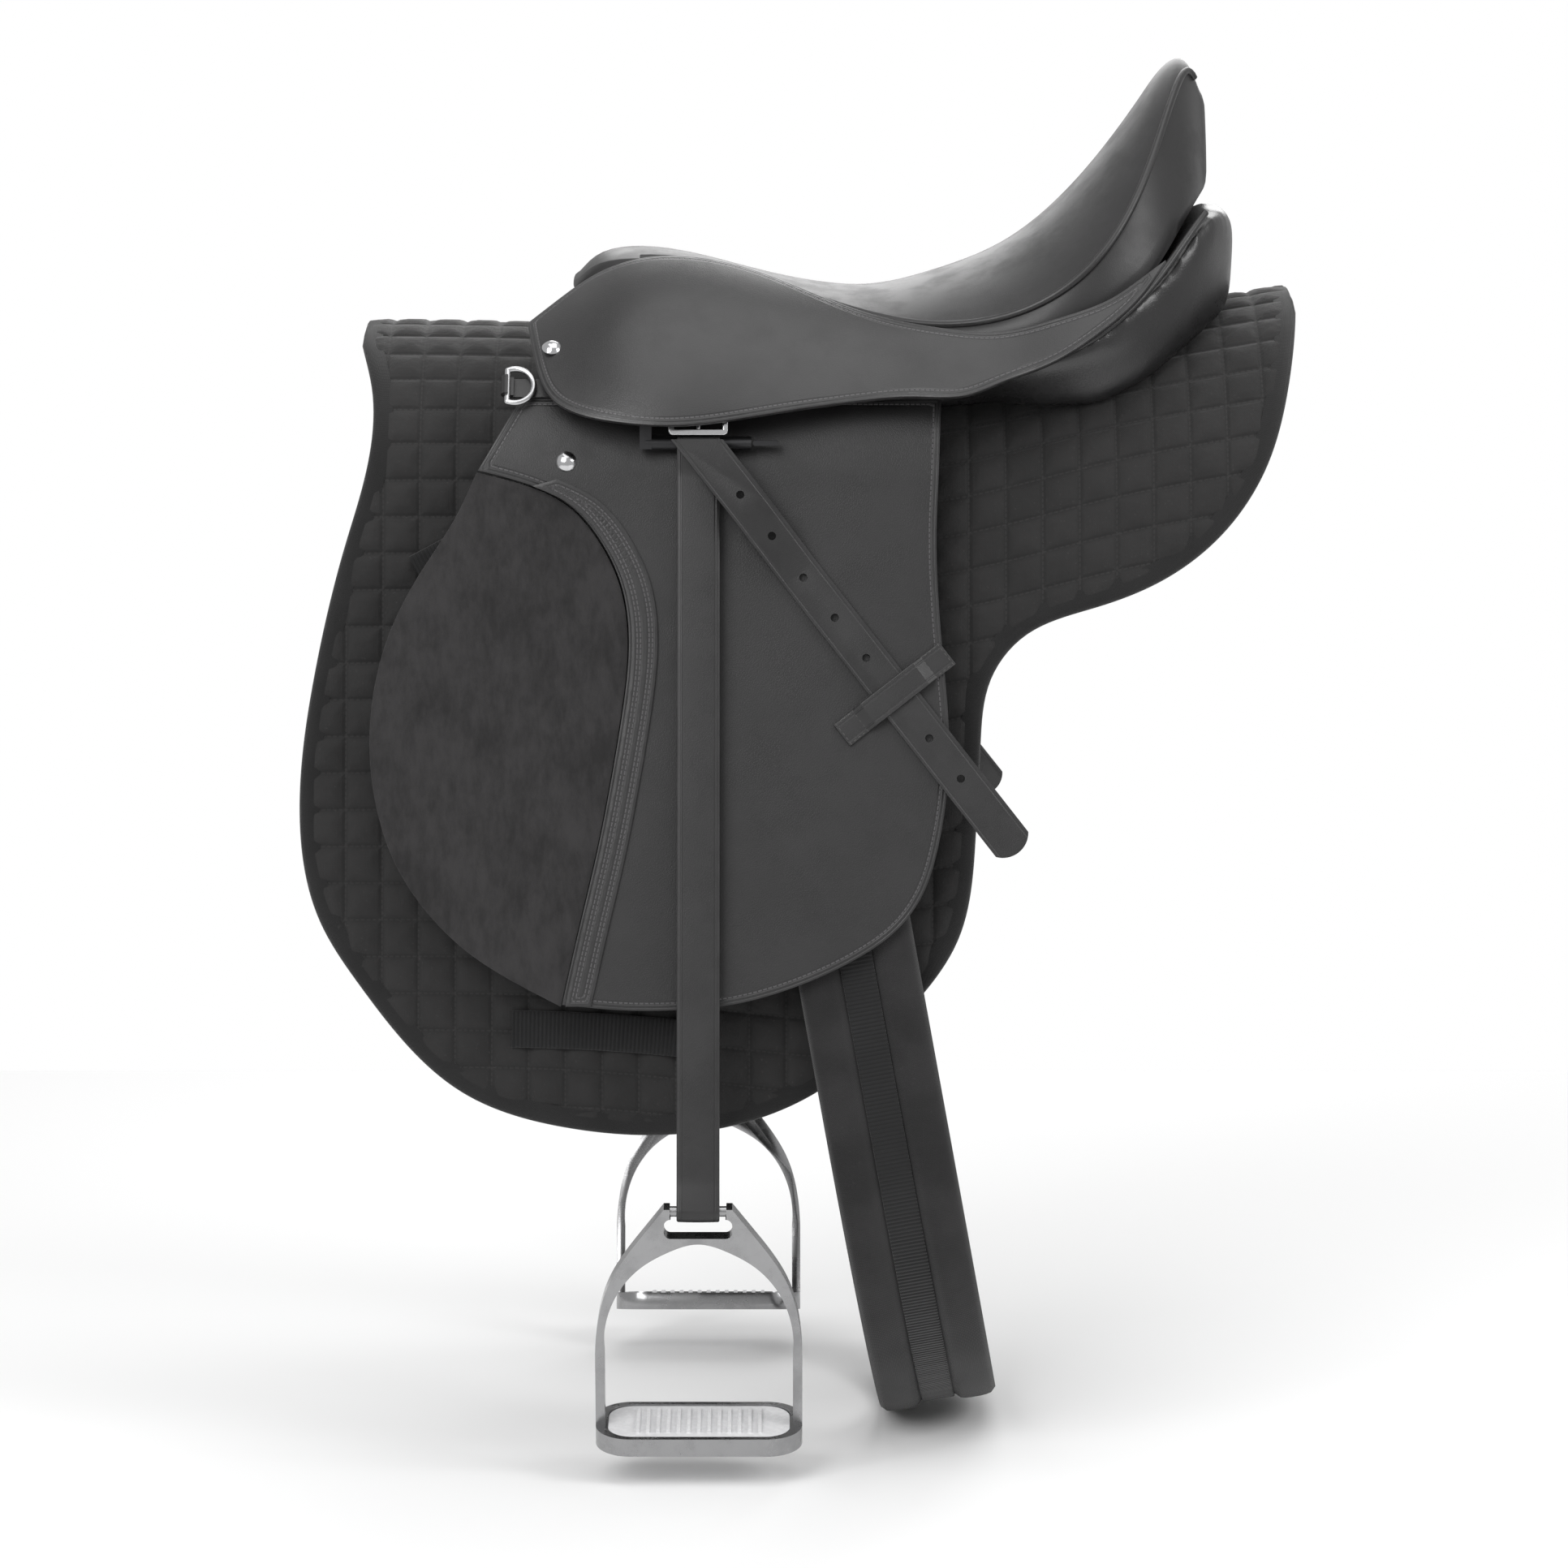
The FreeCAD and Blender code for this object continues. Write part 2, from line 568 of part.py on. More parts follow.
def skirt_surface(x, height, lift=0.0):
    """A point on the outside of the near side skirt and the way out of it."""
    for before, after in zip(SKIRT_STATIONS, SKIRT_STATIONS[1:]):
        if before[0] <= x <= after[0]:
            share = (x - before[0]) / (after[0] - before[0])
            middle = before[1] + share * (after[1] - before[1])
    radius = size("skirt_radius") + size("skirt_thick")
    turn = math.asin((height - middle) / radius)
    normal = Vector(0, -math.cos(turn), math.sin(turn))
    return Vector(x, 0, middle) + normal * (radius + lift), normal


def flap_surface(x, height, lift=0.0, depth=None):
    """A point on the outside of the near side flap and the way out of it."""
    crown, half = size("flap_crown"), size("arch_half_width")
    radius = arch_radius(crown, half)
    outside = size("flap_depth") + size("flap_thick") if depth is None else depth
    reach = radius + outside
    turn = max(SPLAY, math.asin((height - crown + radius) / reach))
    normal = Vector(0, -math.cos(turn), math.sin(turn))
    if turn > SPLAY:
        point = Vector(x, 0, crown - radius) + normal * reach
    else:
        point = Vector(x, -leg_out(outside, height), height)
    return point + normal * lift, normal


def make_studs():
    """One nail head at the front of each skirt and one at the front of each flap."""
    stud = stud_blank()
    pair_in_one("skirt_studs", facing_out(stud, *skirt_surface(-182, 10, 0.8)))
    pair("flap_stud", facing_out(stud, *flap_surface(-173, -56, 0.3)))


def dee_wire_shape():
    """A dee of round wire: a straight bar at the front and a bow behind it. It is drawn
    about the middle of its bar, in the XZ plane."""
    wire = size("dee_wire")
    half, reach = size("dee_high") / 2 - wire, size("dee_wide") - 2 * wire
    bow_radius = (half ** 2 + reach ** 2) / (2 * reach)
    centre = Vector(reach - bow_radius, 0, 0)
    end = Vector(0, 0, half)
    tangent = (end - centre).cross(Vector(0, 1, 0))
    section = Part.Face(Part.Wire(Part.Circle(end, tangent, wire).toShape()))
    sweep = 360 - 2 * math.degrees(math.atan2(half, centre.x))
    bow = section.revolve(centre, Vector(0, 1, 0), sweep)
    bar = Part.makeCylinder(wire, 2 * half, Vector(0, 0, -half))
    corners = [Part.makeSphere(wire, Vector(0, 0, z)) for z in (-half, half)]
    return solid_of(bow.fuse([bar] + corners))


def make_dees():
    """Dee rings at the front of the saddle, each held by a leather chape."""
    wire = size("dee_wire")
    x, height = size("dee_x"), size("dee_height")
    point, normal = flap_surface(x, height, 0.0, size("dee_depth"))
    lean = math.degrees(math.atan2(normal.z, -normal.y))

    def place(shape):
        moved = shape.copy()
        moved.rotate(Vector(), Vector(1, 0, 0), -lean)
        moved.translate(point)
        return moved

    pair("dee_ring", place(dee_wire_shape()))
    long, skin, reach = size("dee_high") * 0.5, 2.0, 26.0
    play, lap = 0.15, 0.8
    sleeve = Part.makeCylinder(wire + skin, long, Vector(0, 0, -long / 2))
    tail = Part.makeBox(reach, skin, long, Vector(0, wire + lap, -long / 2))
    bore = Part.makeCylinder(wire + play, long + 2, Vector(0, 0, -long / 2 - 1))
    # the leather goes round the front of the bar and stays behind it
    front_half = Part.makeBox(8, 10, long + 2, Vector(-7.5, -5, -long / 2 - 1))
    back_half = Part.makeBox(8, 6, long + 2, Vector(-0.5, 0.2, -long / 2 - 1))
    clip = front_half.fuse(back_half)
    pair("dee_chape", place(solid_of(sleeve.common(clip).fuse(tail).cut(bore))))


def bar_centre():
    """The middle of the near side stirrup bar."""
    height = size("bar_height")
    return Vector(size("bar_x"), -leg_out(size("bar_depth"), height), height)


def make_bars():
    """The steel bar that each stirrup leather hangs on, and its thumb catch."""
    centre, long, leg = bar_centre(), size("bar_long"), size("bar_leg")
    rod = doc.addObject("Part::Cylinder", "BarRod")
    rod.setExpression("Radius", "Sizes.bar_radius")
    rod.setExpression("Height", "Sizes.bar_long")
    rod.Placement = FreeCAD.Placement(centre - Vector(long / 2, 0, 0),
                                      Rotation(Vector(0, 1, 0), 90))
    front, half = centre.x - long / 2, leg / 2
    bend = size("shank_height")
    post = doc.addObject("Part::Box", "BarPost")
    for side, expression in (("Length", "Sizes.bar_leg"), ("Width", "Sizes.bar_leg"),
                             ("Height", "Sizes.shank_height - Sizes.bar_height"
                                        " + Sizes.bar_leg")):
        post.setExpression(side, expression)
    post.Placement.Base = Vector(front - half, centre.y - half, centre.z - half)
    shank = doc.addObject("Part::Box", "BarShank")
    shank.setExpression("Length", "Sizes.bar_leg")
    shank.setExpression("Height", "Sizes.bar_leg")
    play = 0.3
    shank.Width = leg_out(size("bar_depth"), centre.z) + half - arm_face(bend - half) - play
    shank.Placement.Base = Vector(front - half, centre.y - half, bend - half)
    whole = doc.addObject("Part::MultiFuse", "BarWhole")
    whole.Shapes = [rod, post, shank]
    near = keep(whole, "stirrup_bar_left")
    doc.recompute()
    mirror_of(near, "stirrup_bar_right")
    gap = 0.9
    tip = centre + Vector(long / 2 + gap, 0, 0)
    wide, thick = size("catch_wide"), size("catch_thick")
    lever = Part.makeBox(size("catch_long"), wide, thick,
                         tip + Vector(0, -wide / 2, -thick / 2))
    rounded = lever.makeFillet(thick * 0.45, [e for e in lever.Edges if runs_along(e, 1)])
    pair("bar_catch", rounded)


def arm_face(height):
    """How far out the outside of the tree's arm is at a height."""
    crown = size("flap_crown")
    radius = arch_radius(crown, size("arch_half_width"))
    reach = radius + size("arm_depth") + size("arm_thick")
    return math.sqrt(reach ** 2 - (height - crown + radius) ** 2)


# --- stirrup leathers -------------------------------------------------------------------

def folded_strap(fold_radius, long, hang, slit_long):
    """A doubled strap that hangs from a fold over a round bar at the origin.

    fold_radius is the bar's, long is how far the two runs reach from the fold's middle,
    hang is 1 where they hang below the fold and -1 where they rise above it, and
    slit_long is how far the runs stay apart."""
    thick, wide, slit = size("leather_thick"), size("strap_wide"), size("strap_slit")
    run = thick + slit / 2
    inner = fold_radius + 0.15
    ring = Part.makeCylinder(inner + thick, wide, Vector(-wide / 2, 0, 0), Vector(1, 0, 0))
    low = -long if hang > 0 else 0
    runs = Part.makeBox(wide, 2 * run, long, Vector(-wide / 2, -run, low))
    bore = Part.makeCylinder(inner, wide + 2, Vector(-wide / 2 - 1, 0, 0), Vector(1, 0, 0))
    low = -slit_long if hang > 0 else 0
    gap = Part.makeBox(wide + 2, slit, slit_long, Vector(-wide / 2 - 1, -slit / 2, low))
    return solid_of(ring.fuse(runs).cut(bore).cut(gap))


def on_bar(shape):
    """Puts a piece drawn about the stirrup bar, hanging straight down, on the near side."""
    hung = shape.copy()
    hung.rotate(Vector(), Vector(1, 0, 0), -size("leg_splay"))
    hung.translate(bar_centre())
    return hung


def make_leathers():
    """The loop over the bar with its buckle, and the doubled strap down to the iron."""
    drop = size("loop_drop")
    loop = folded_strap(size("bar_radius"), drop, 1, drop + 2)
    pair("leather_loop", on_bar(loop))
    long = size("strap_drop") - drop - size("swing_gap")
    strap = folded_strap(size("eye_bar") / 2, long, -1, long - size("sewn_long"))
    strap.translate(Vector(0, 0, -size("strap_drop")))
    pair("stirrup_leather", on_bar(strap))
    wire = size("buckle_wire")
    out = size("bar_radius") + size("leather_thick") + 0.6
    frame = frame_shape(size("buckle_wide"), size("buckle_high"), wire)
    rise = size("buckle_rise")
    frame.translate(Vector(0, -out, rise))
    pair("stirrup_buckle", on_bar(frame))
    span = size("buckle_high") - 2 * wire - 0.6
    tongue = Part.makeCylinder(1.4, span, Vector(0, -out - wire / 2, rise - span / 2))
    pair("buckle_tongue", on_bar(tongue))


def make_tails():
    """The free end of each stirrup leather, held to the flap by a sewn keeper."""
    wide, long, thick = size("strap_wide") - 1.0, size("tail_long"), size("tail_thick")
    outside = size("flap_depth") + size("flap_thick")
    rest = outside + size("tail_play")
    # it leaves the buckle well off the flap and comes down on to it
    above_bar, leaves, lands = -12.0, 54.0, 96.0
    stands_off = rest + 16.2
    lay = [(above_bar, stands_off), (leaves, stands_off), (lands, rest), (long, rest)]
    near = [Vector(0, -d, -r) for r, d in lay]
    far = [Vector(0, -(d + thick), -r) for r, d in lay]
    ribbon = Part.Face(Part.makePolygon(near + far[::-1] + [near[0]]))
    strap = ribbon.extrude(Vector(wide, 0, 0))
    strap.translate(Vector(-wide / 2, 0, 0))
    through, outward = 80.0, Vector(0, -1, 0)
    tip_radius = wide * 0.62
    tip = Part.makeCylinder(tip_radius, through, Vector(0, 0, tip_radius - long), outward)
    body = Part.makeBox(wide, through, long,
                        Vector(-wide / 2, -through, tip_radius - long))
    strap = strap.common(tip.fuse(body))
    first, count, radius = 40.0, 8, size("hole_radius")
    for i in range(count):
        centre = Vector(0, 0, -first - i * size("hole_pitch"))
        strap = strap.cut(Part.makeCylinder(radius, through, centre, outward))
    cut_height = 1.0
    level = Part.makeBox(200, 120, 60, Vector(-100, -100, cut_height))
    level.rotate(Vector(), Vector(0, 1, 0), size("tail_lean"))
    pair("leather_tail", place_tail(solid_of(strap.cut(level))))
    reach, band, skin = (size("keeper_long"), size("keeper_wide"), size("keeper_thick"))
    half, foot, step, sewn, rise = reach / 2, 14.0, 6.0, 0.1, thick + 1.4
    inside = [(-half, sewn), (-half + foot, sewn), (-half + foot + step, rise),
              (half - foot - step, rise), (half - foot, sewn), (half, sewn)]
    lower = [Vector(x, -(outside + d), 0) for x, d in inside]
    upper = [Vector(x, -(outside + d + skin), 0) for x, d in inside]
    bridge = Part.Face(Part.makePolygon(lower + upper[::-1] + [lower[0]]))
    bridge = bridge.extrude(Vector(0, 0, band))
    bridge.translate(Vector(0, 0, -size("keeper_down") - band / 2))
    pair("leather_keeper", place_tail(bridge))


def place_tail(shape):
    """Leans a piece drawn down the tail's middle line and lays it on the near side. The
    piece's depths are measured out along -Y, and it is drawn about the bar's height."""
    laid = shape.copy()
    laid.translate(Vector(0, size("bar_depth"), 0))
    laid.rotate(Vector(), Vector(0, 1, 0), -size("tail_lean"))
    return on_bar(laid)


# --- stirrup irons ----------------------------------------------------------------------

def iron_bow():
    """The bow of the iron: two blades that rise from the foot plate to the eye."""
    wide, high, eye = size("iron_wide") / 2, size("iron_high"), size("eye_wide") / 2
    arm, bar = size("iron_arm"), size("eye_bar")
    foot = -high + size("plate_high") / 2
    under_eye = -bar - size("eye_high") - 3.5
    outer = [(-wide, -96), (-59, -70), (-52, -46), (-44, -32), (-33, -17)]
    inner = [(-wide + arm, -92), (-53, -66), (-45, -49), (-33, -36), (-18, -27),
             (0, under_eye)]

    def flipped(points):
        return [(-x, z) for x, z in points]

    shoulder, shoulder_off = outer[-1], flipped(outer)[-1]
    face = outline(
        [(-wide, foot), outer[0]], outer, [shoulder, (-eye, 0)], [(-eye, 0), (eye, 0)],
        [(eye, 0), shoulder_off], flipped(outer)[::-1], [(wide, -96), (wide, foot)],
        [(wide, foot), (wide - arm, foot)], [(wide - arm, foot), (wide - arm, -92)],
        flipped(inner) + inner[-2::-1],
        [inner[0], (-wide + arm, foot)], [(-wide + arm, foot), (-wide, foot)])
    blade = size("iron_blade")
    bow = face.extrude(Vector(0, blade, 0))
    bow.translate(Vector(0, -blade / 2, 0))
    slot = Part.makeBox(2 * eye, blade * 2, size("eye_high"),
                        Vector(-eye, -blade, -bar - size("eye_high")))
    slot = slot.makeFillet(4.0, [e for e in slot.Edges if runs_along(e, 1)])
    bow = bow.cut(slot)
    # the eye bar is round, so that the leather turns on it
    round_long = size("strap_wide") + 8
    trough = Part.makeBox(round_long, blade * 2, bar + 2,
                          Vector(-round_long / 2, -blade, -bar))
    rod = Part.makeCylinder(bar / 2, round_long, Vector(-round_long / 2, 0, -bar / 2),
                            Vector(1, 0, 0))
    return solid_of(bow.cut(trough).fuse(rod))


def foot_plate():
    """The foot plate: a rounded frame with a floor, sunk to take the tread."""
    body = new_body("PlateBody")
    sketch = new_sketch(body, "XY_Plane", "PlateOutline")
    centred_rectangle(sketch, "Sizes.iron_wide", "Sizes.iron_deep")
    feature_of(body, sketch, "PartDesign::Pad", "Plate", "Sizes.plate_high")
    hole = new_sketch(body, "XY_Plane", "PlateOpening")
    centred_rectangle(hole, "Sizes.iron_wide - 2 * Sizes.iron_arm - 14",
                      "Sizes.iron_deep - 2 * Sizes.plate_rim - 8")
    feature_of(body, hole, "PartDesign::Pocket", "Opening", "Sizes.plate_high",
               reverse=True)
    doc.recompute()
    plate = body.Shape.copy()
    corners = [e for e in plate.Edges if runs_along(e, 2)
               and abs(abs(e.Vertexes[0].X) - size("iron_wide") / 2) < 0.1]
    return plate.makeFillet(21.0, corners)


def tread_blank(play, extra=0.0):
    """The tread: a rounded plate that fits the foot plate, drawn in by some play, or the
    taller block that its socket is cut with."""
    wide = size("iron_wide") - 2 * size("iron_arm") - 3.0 - 2 * play
    deep = size("iron_deep") - 2 * size("plate_rim") + 2.0 - 2 * play
    high = size("tread_high") + extra
    slab = Part.makeBox(wide, deep, high, Vector(-wide / 2, -deep / 2, 0))
    return slab.makeFillet(15.0, [e for e in slab.Edges if runs_along(e, 2)])


def hang_iron(shape):
    """Hangs a piece of the iron, drawn about its eye bar, on the near side leather."""
    hung = shape.copy()
    hung.rotate(Vector(), Vector(1, 0, 0), size("iron_tilt"))
    hung.translate(eye_centre())
    return hung


def eye_centre():
    """The middle of the near side iron's eye bar, inside the fold of its leather."""
    hung = Vector(0, 0, -size("strap_drop"))
    return bar_centre() + Rotation(Vector(1, 0, 0), -size("leg_splay")).multVec(hung)


def make_irons():
    """The steel irons and their rubber treads."""
    bar, high = size("eye_bar"), size("iron_high")
    bow, plate = iron_bow(), foot_plate()
    plate.translate(Vector(0, 0, -high))
    socket = tread_blank(0.0, 4.0)
    floor = -size("tread_high") + size("plate_high") - 1.0
    socket.translate(Vector(0, 0, -high + floor))
    iron = bow.fuse(plate).cut(socket)
    iron.translate(Vector(0, 0, bar / 2))
    pair("stirrup_iron", hang_iron(solid_of(iron)))
    play = size("tread_play")
    tread = tread_blank(play)
    ribs = []
    pitch, wide = size("rib_pitch"), size("rib_wide")
    count = int((size("iron_wide") - 40) / pitch) // 2
    for i in range(-count, count + 1):
        rib = Part.makeBox(wide, size("iron_deep") - 22, size("rib_high") + 1,
                           Vector(i * pitch - wide / 2, -(size("iron_deep") - 22) / 2,
                                  size("tread_high") - 1))
        ribs.append(rib)
    tread = solid_of(tread.fuse(ribs))
    tread.translate(Vector(0, 0, -high + floor + play + bar / 2))
    pair("stirrup_tread", hang_iron(tread))


# --- girth and billets ------------------------------------------------------------------

def girth_band(inner, outer, top, wide):
    """A band that hangs as a loop from one side to the other, about x = 0."""
    bottom = size("girth_bottom")

    def line(depth):
        reach = size("arch_half_width") * math.cos(SPLAY) + depth
        low = bottom - (depth - size("girth_depth"))
        radius = (reach - low * math.sin(SPLAY)) / (1 + math.sin(SPLAY))
        centre = low + radius
        touch = Vector(0, -radius * math.cos(SPLAY), centre + radius * math.sin(SPLAY))
        head = Vector(0, -leg_out(depth, top), top)
        return head, touch, Vector(0, 0, low)

    head_i, touch_i, low_i = line(inner)
    head_o, touch_o, low_o = line(outer)

    def flip(v):
        return Vector(v.x, -v.y, v.z)

    edges = [
        Part.LineSegment(head_i, touch_i).toShape(),
        Part.Arc(touch_i, low_i, flip(touch_i)).toShape(),
        Part.LineSegment(flip(touch_i), flip(head_i)).toShape(),
        Part.LineSegment(flip(head_i), flip(head_o)).toShape(),
        Part.LineSegment(flip(head_o), flip(touch_o)).toShape(),
        Part.Arc(flip(touch_o), low_o, touch_o).toShape(),
        Part.LineSegment(touch_o, head_o).toShape(),
        Part.LineSegment(head_o, head_i).toShape(),
    ]
    band = Part.Face(Part.Wire(edges)).extrude(Vector(wide, 0, 0))
    band.translate(Vector(-wide / 2, 0, 0))
    return band


def lean_girth(shape):
    """Swings a piece of the girth, drawn about x = 0, back to where it hangs."""
    pivot = Vector(0, 0, size("girth_pivot_height"))
    swung = shape.copy()
    swung.rotate(pivot, Vector(0, 1, 0), -size("girth_lean"))
    swung.translate(Vector(size("girth_pivot_x"), 0, 0))
    return swung


def both_sides(shapes):
    """Near side shapes and their twins, leaned with the girth, as one compound."""
    twins = [s.mirror(Vector(), Vector(0, 1, 0)) for s in shapes]
    return Part.makeCompound([lean_girth(s) for s in list(shapes) + twins])


def make_girth():
    """The padded girth with its webbing and buckles, and the billets it hangs from."""
    top, depth, thick = size("girth_top"), size("girth_depth"), size("girth_thick")
    free_shape("girth", lean_girth(girth_band(depth, depth + thick, top,
                                              size("girth_wide"))))
    skin = size("web_thick")
    outer = depth + thick + 0.1
    free_shape("girth_webbing", lean_girth(girth_band(outer, outer + skin, top - 8,
                                                      size("web_wide"))))
    pitch, long = size("billet_pitch"), size("billet_long")
    high = size("girth_pivot_height")
    wire = size("girth_buckle_wire")
    billets, frames, tongues = [], [], []
    for place in (-1, 0, 1):
        spare = place == 0
        wide = size("billet_wide") if not spare else pitch - size("billet_wide") - 3.0
        reach = long - (70.0 if not spare else 66.0)
        strap = flat_strap(wide, reach, size("billet_thick"), place * pitch / 2)
        for i in range(4):
            hole = Part.makeCylinder(size("hole_radius"), 20,
                                     Vector(place * pitch / 2, 10, -reach + 14 + 24 * i),
                                     Vector(0, -1, 0))
            strap = strap.cut(hole)
        billets.append(on_leg(strap, 0, size("billet_depth"), high))
    buckle_height = top + size("girth_buckle_high") / 2 + 1.5
    for place in (-1, 1):
        frame = frame_shape(size("girth_buckle_wide"), size("girth_buckle_high"), wire)
        frames.append(on_leg(frame, place * pitch * 0.5, size("billet_depth")
                             + size("billet_thick") + 0.3, buckle_height))
        tongue = Part.makeCylinder(1.3, size("girth_buckle_high") - 2 * wire - 0.6,
                                   Vector(0, -1.7, -size("girth_buckle_high") / 2
                                          + wire + 0.3))
        tongues.append(on_leg(tongue, place * pitch * 0.5, size("billet_depth")
                              + size("billet_thick") + 0.3, buckle_height))
    free_shape("billets", both_sides(billets))
    free_shape("girth_buckles", both_sides(frames))
    free_shape("girth_buckle_tongues", both_sides(tongues))


def make_pad_straps():
    """The webbing loop that the girth can pass through, and the front strap of the pad."""
    depth = size("pad_thick") + 0.1
    webbing = pad_layer(depth, depth + size("pad_web_thick"))
    loop = outline([(-206, -381), (-100, -387)], [(-100, -387), (-100, -407)],
                   [(-100, -407), (-206, -401)], [(-206, -401), (-206, -381)])
    front = outline([(-270, -135), (-254, -112)], [(-254, -112), (-226, -100)],
                    [(-226, -100), (-240, -126)], [(-240, -126), (-270, -135)])
    near = [solid_of(webbing.common(face.extrude(Vector(0, -400, 0))))
            for face in (loop, front)]
    off = [strap.mirror(Vector(), Vector(0, 1, 0)) for strap in near]
    free_shape("pad_webbing", Part.makeCompound(near + off))


def check_and_write():
    """Stops on a failed object, and writes each sub-part."""
    doc.recompute()
    bad = [o.Label for o in doc.Objects if {"Invalid", "Error"} & set(o.State)]
    for feature in parts:
        shape = feature.Shape
        if shape.isNull() or not shape.isValid() or not shape.Solids:
            bad.append(feature.Label)
    if bad:
        raise RuntimeError(f"these failed: {bad}")
    os.makedirs("parts", exist_ok=True)
    for feature in parts:
        feature.Shape.exportStep(os.path.join("parts", feature.Label + ".step"))
    print(len(parts), "sub-parts written")


make_pad()
make_seat()
make_tree()
make_panels()
make_flaps()
make_skirts()
make_studs()
make_dees()
make_bars()
make_leathers()
make_tails()
make_irons()
make_girth()
make_pad_straps()
check_and_write()
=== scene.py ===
"""Looks of the english saddle: leather, suede, quilting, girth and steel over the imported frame."""
import logging
import math
from dataclasses import dataclass, field
from enum import Enum
from typing import Callable, Sequence

import bmesh
import bpy
import numpy as np
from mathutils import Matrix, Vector


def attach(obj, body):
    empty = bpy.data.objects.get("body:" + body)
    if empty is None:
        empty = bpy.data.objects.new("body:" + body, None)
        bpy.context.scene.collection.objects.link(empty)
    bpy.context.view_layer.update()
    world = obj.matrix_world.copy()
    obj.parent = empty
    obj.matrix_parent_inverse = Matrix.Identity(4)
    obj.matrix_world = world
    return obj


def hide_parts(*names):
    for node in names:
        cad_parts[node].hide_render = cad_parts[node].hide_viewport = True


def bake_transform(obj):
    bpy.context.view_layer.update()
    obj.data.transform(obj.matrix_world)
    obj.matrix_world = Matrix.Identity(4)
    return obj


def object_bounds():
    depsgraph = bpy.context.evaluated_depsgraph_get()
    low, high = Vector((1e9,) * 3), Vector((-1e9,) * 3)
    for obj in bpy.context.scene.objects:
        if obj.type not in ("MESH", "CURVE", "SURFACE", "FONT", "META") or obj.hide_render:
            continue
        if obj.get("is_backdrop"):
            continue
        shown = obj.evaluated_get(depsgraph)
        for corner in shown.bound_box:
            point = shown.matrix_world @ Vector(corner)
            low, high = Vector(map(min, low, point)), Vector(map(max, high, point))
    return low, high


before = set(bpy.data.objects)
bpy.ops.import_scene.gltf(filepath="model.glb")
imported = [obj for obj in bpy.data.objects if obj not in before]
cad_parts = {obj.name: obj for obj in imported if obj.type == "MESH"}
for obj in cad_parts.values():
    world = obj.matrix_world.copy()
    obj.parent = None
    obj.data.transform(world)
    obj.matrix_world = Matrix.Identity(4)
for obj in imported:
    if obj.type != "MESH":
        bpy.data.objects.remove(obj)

LOG = logging.getLogger("saddle")
MM = 0.001
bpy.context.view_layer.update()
SPLAY = math.radians(8.0)
HALF_TURN = math.pi / 2
Point2 = tuple[float, float]
Socket = bpy.types.NodeSocket


class Side(Enum):
    """The two sides of the saddle; the near side is the left one."""

    NEAR = "left"
    OFF = "right"


class Join(Enum):
    """How a row of points is joined: by straight runs or by one smooth curve."""

    STRAIGHT = "straight"
    SMOOTH = "smooth"


# --- lines and surfaces -------------------------------------------------------------------


def spline(knots: Sequence[float], values: Sequence[float]) -> Callable[[np.ndarray], np.ndarray]:
    """A natural cubic spline.

    Args:
        knots: where the values hold, rising.
        values: one number per knot.

    Returns:
        A function of an array of places.
    """
    k, v = np.asarray(knots, float), np.asarray(values, float)
    n, step = len(k), np.diff(k)
    system, rhs = np.eye(n), np.zeros(n)
    for i in range(1, n - 1):
        system[i, i - 1:i + 2] = step[i - 1], 2 * (step[i - 1] + step[i]), step[i]
        rhs[i] = 6 * ((v[i + 1] - v[i]) / step[i] - (v[i] - v[i - 1]) / step[i - 1])
    bend = np.linalg.solve(system, rhs)

    def at(place: np.ndarray) -> np.ndarray:
        """The spline's value at each place."""
        place = np.clip(np.asarray(place, float), k[0], k[-1])
        i = np.clip(np.searchsorted(k, place) - 1, 0, n - 2)
        h, left, right = step[i], place - k[i], k[i + 1] - place
        return (bend[i] * right ** 3 + bend[i + 1] * left ** 3) / (6 * h) \
            + (v[i] / h - bend[i] * h / 6) * right + (v[i + 1] / h - bend[i + 1] * h / 6) * left

    return at


def through(points: Sequence[Sequence[float]], count: int) -> np.ndarray:
    """A smooth line through some points, evenly spaced along it.

    Args:
        points: the points, of any dimension.
        count: how many points to return.

    Returns:
        An array of count points.
    """
    p = np.asarray(points, float)
    along = np.r_[0, np.cumsum(np.linalg.norm(np.diff(p, axis=0), axis=1))]
    lines = [spline(along, p[:, i]) for i in range(p.shape[1])]
    fine = np.stack([line(np.linspace(0, along[-1], count * 6)) for line in lines], 1)
    run = np.r_[0, np.cumsum(np.linalg.norm(np.diff(fine, axis=0), axis=1))]
    even = np.linspace(0, run[-1], count)
    return np.stack([np.interp(even, run, fine[:, i]) for i in range(p.shape[1])], 1)


def outline(*stretches: tuple[Join, Sequence[Point2]], pitch: float = 4.0) -> np.ndarray:
    """A closed outline made of stretches, each starting where the last one ends.

    Args:
        stretches: how each is joined, and its points in millimetres.
        pitch: the spacing of the points that are returned.

    Returns:
        The outline's points, the last one not repeated.
    """
    rows = []
    for join, points in stretches:
        p = np.asarray(points, float)
        long = np.linalg.norm(np.diff(p, axis=0), axis=1).sum()
        count = max(2, int(long / pitch) + 1)
        if join is Join.SMOOTH:
            line = through(p, count)
        else:
            line = p[:1] + (p[-1:] - p[:1]) * np.linspace(0, 1, count)[:, None]
        rows.append(line[:-1])
    return np.concatenate(rows)


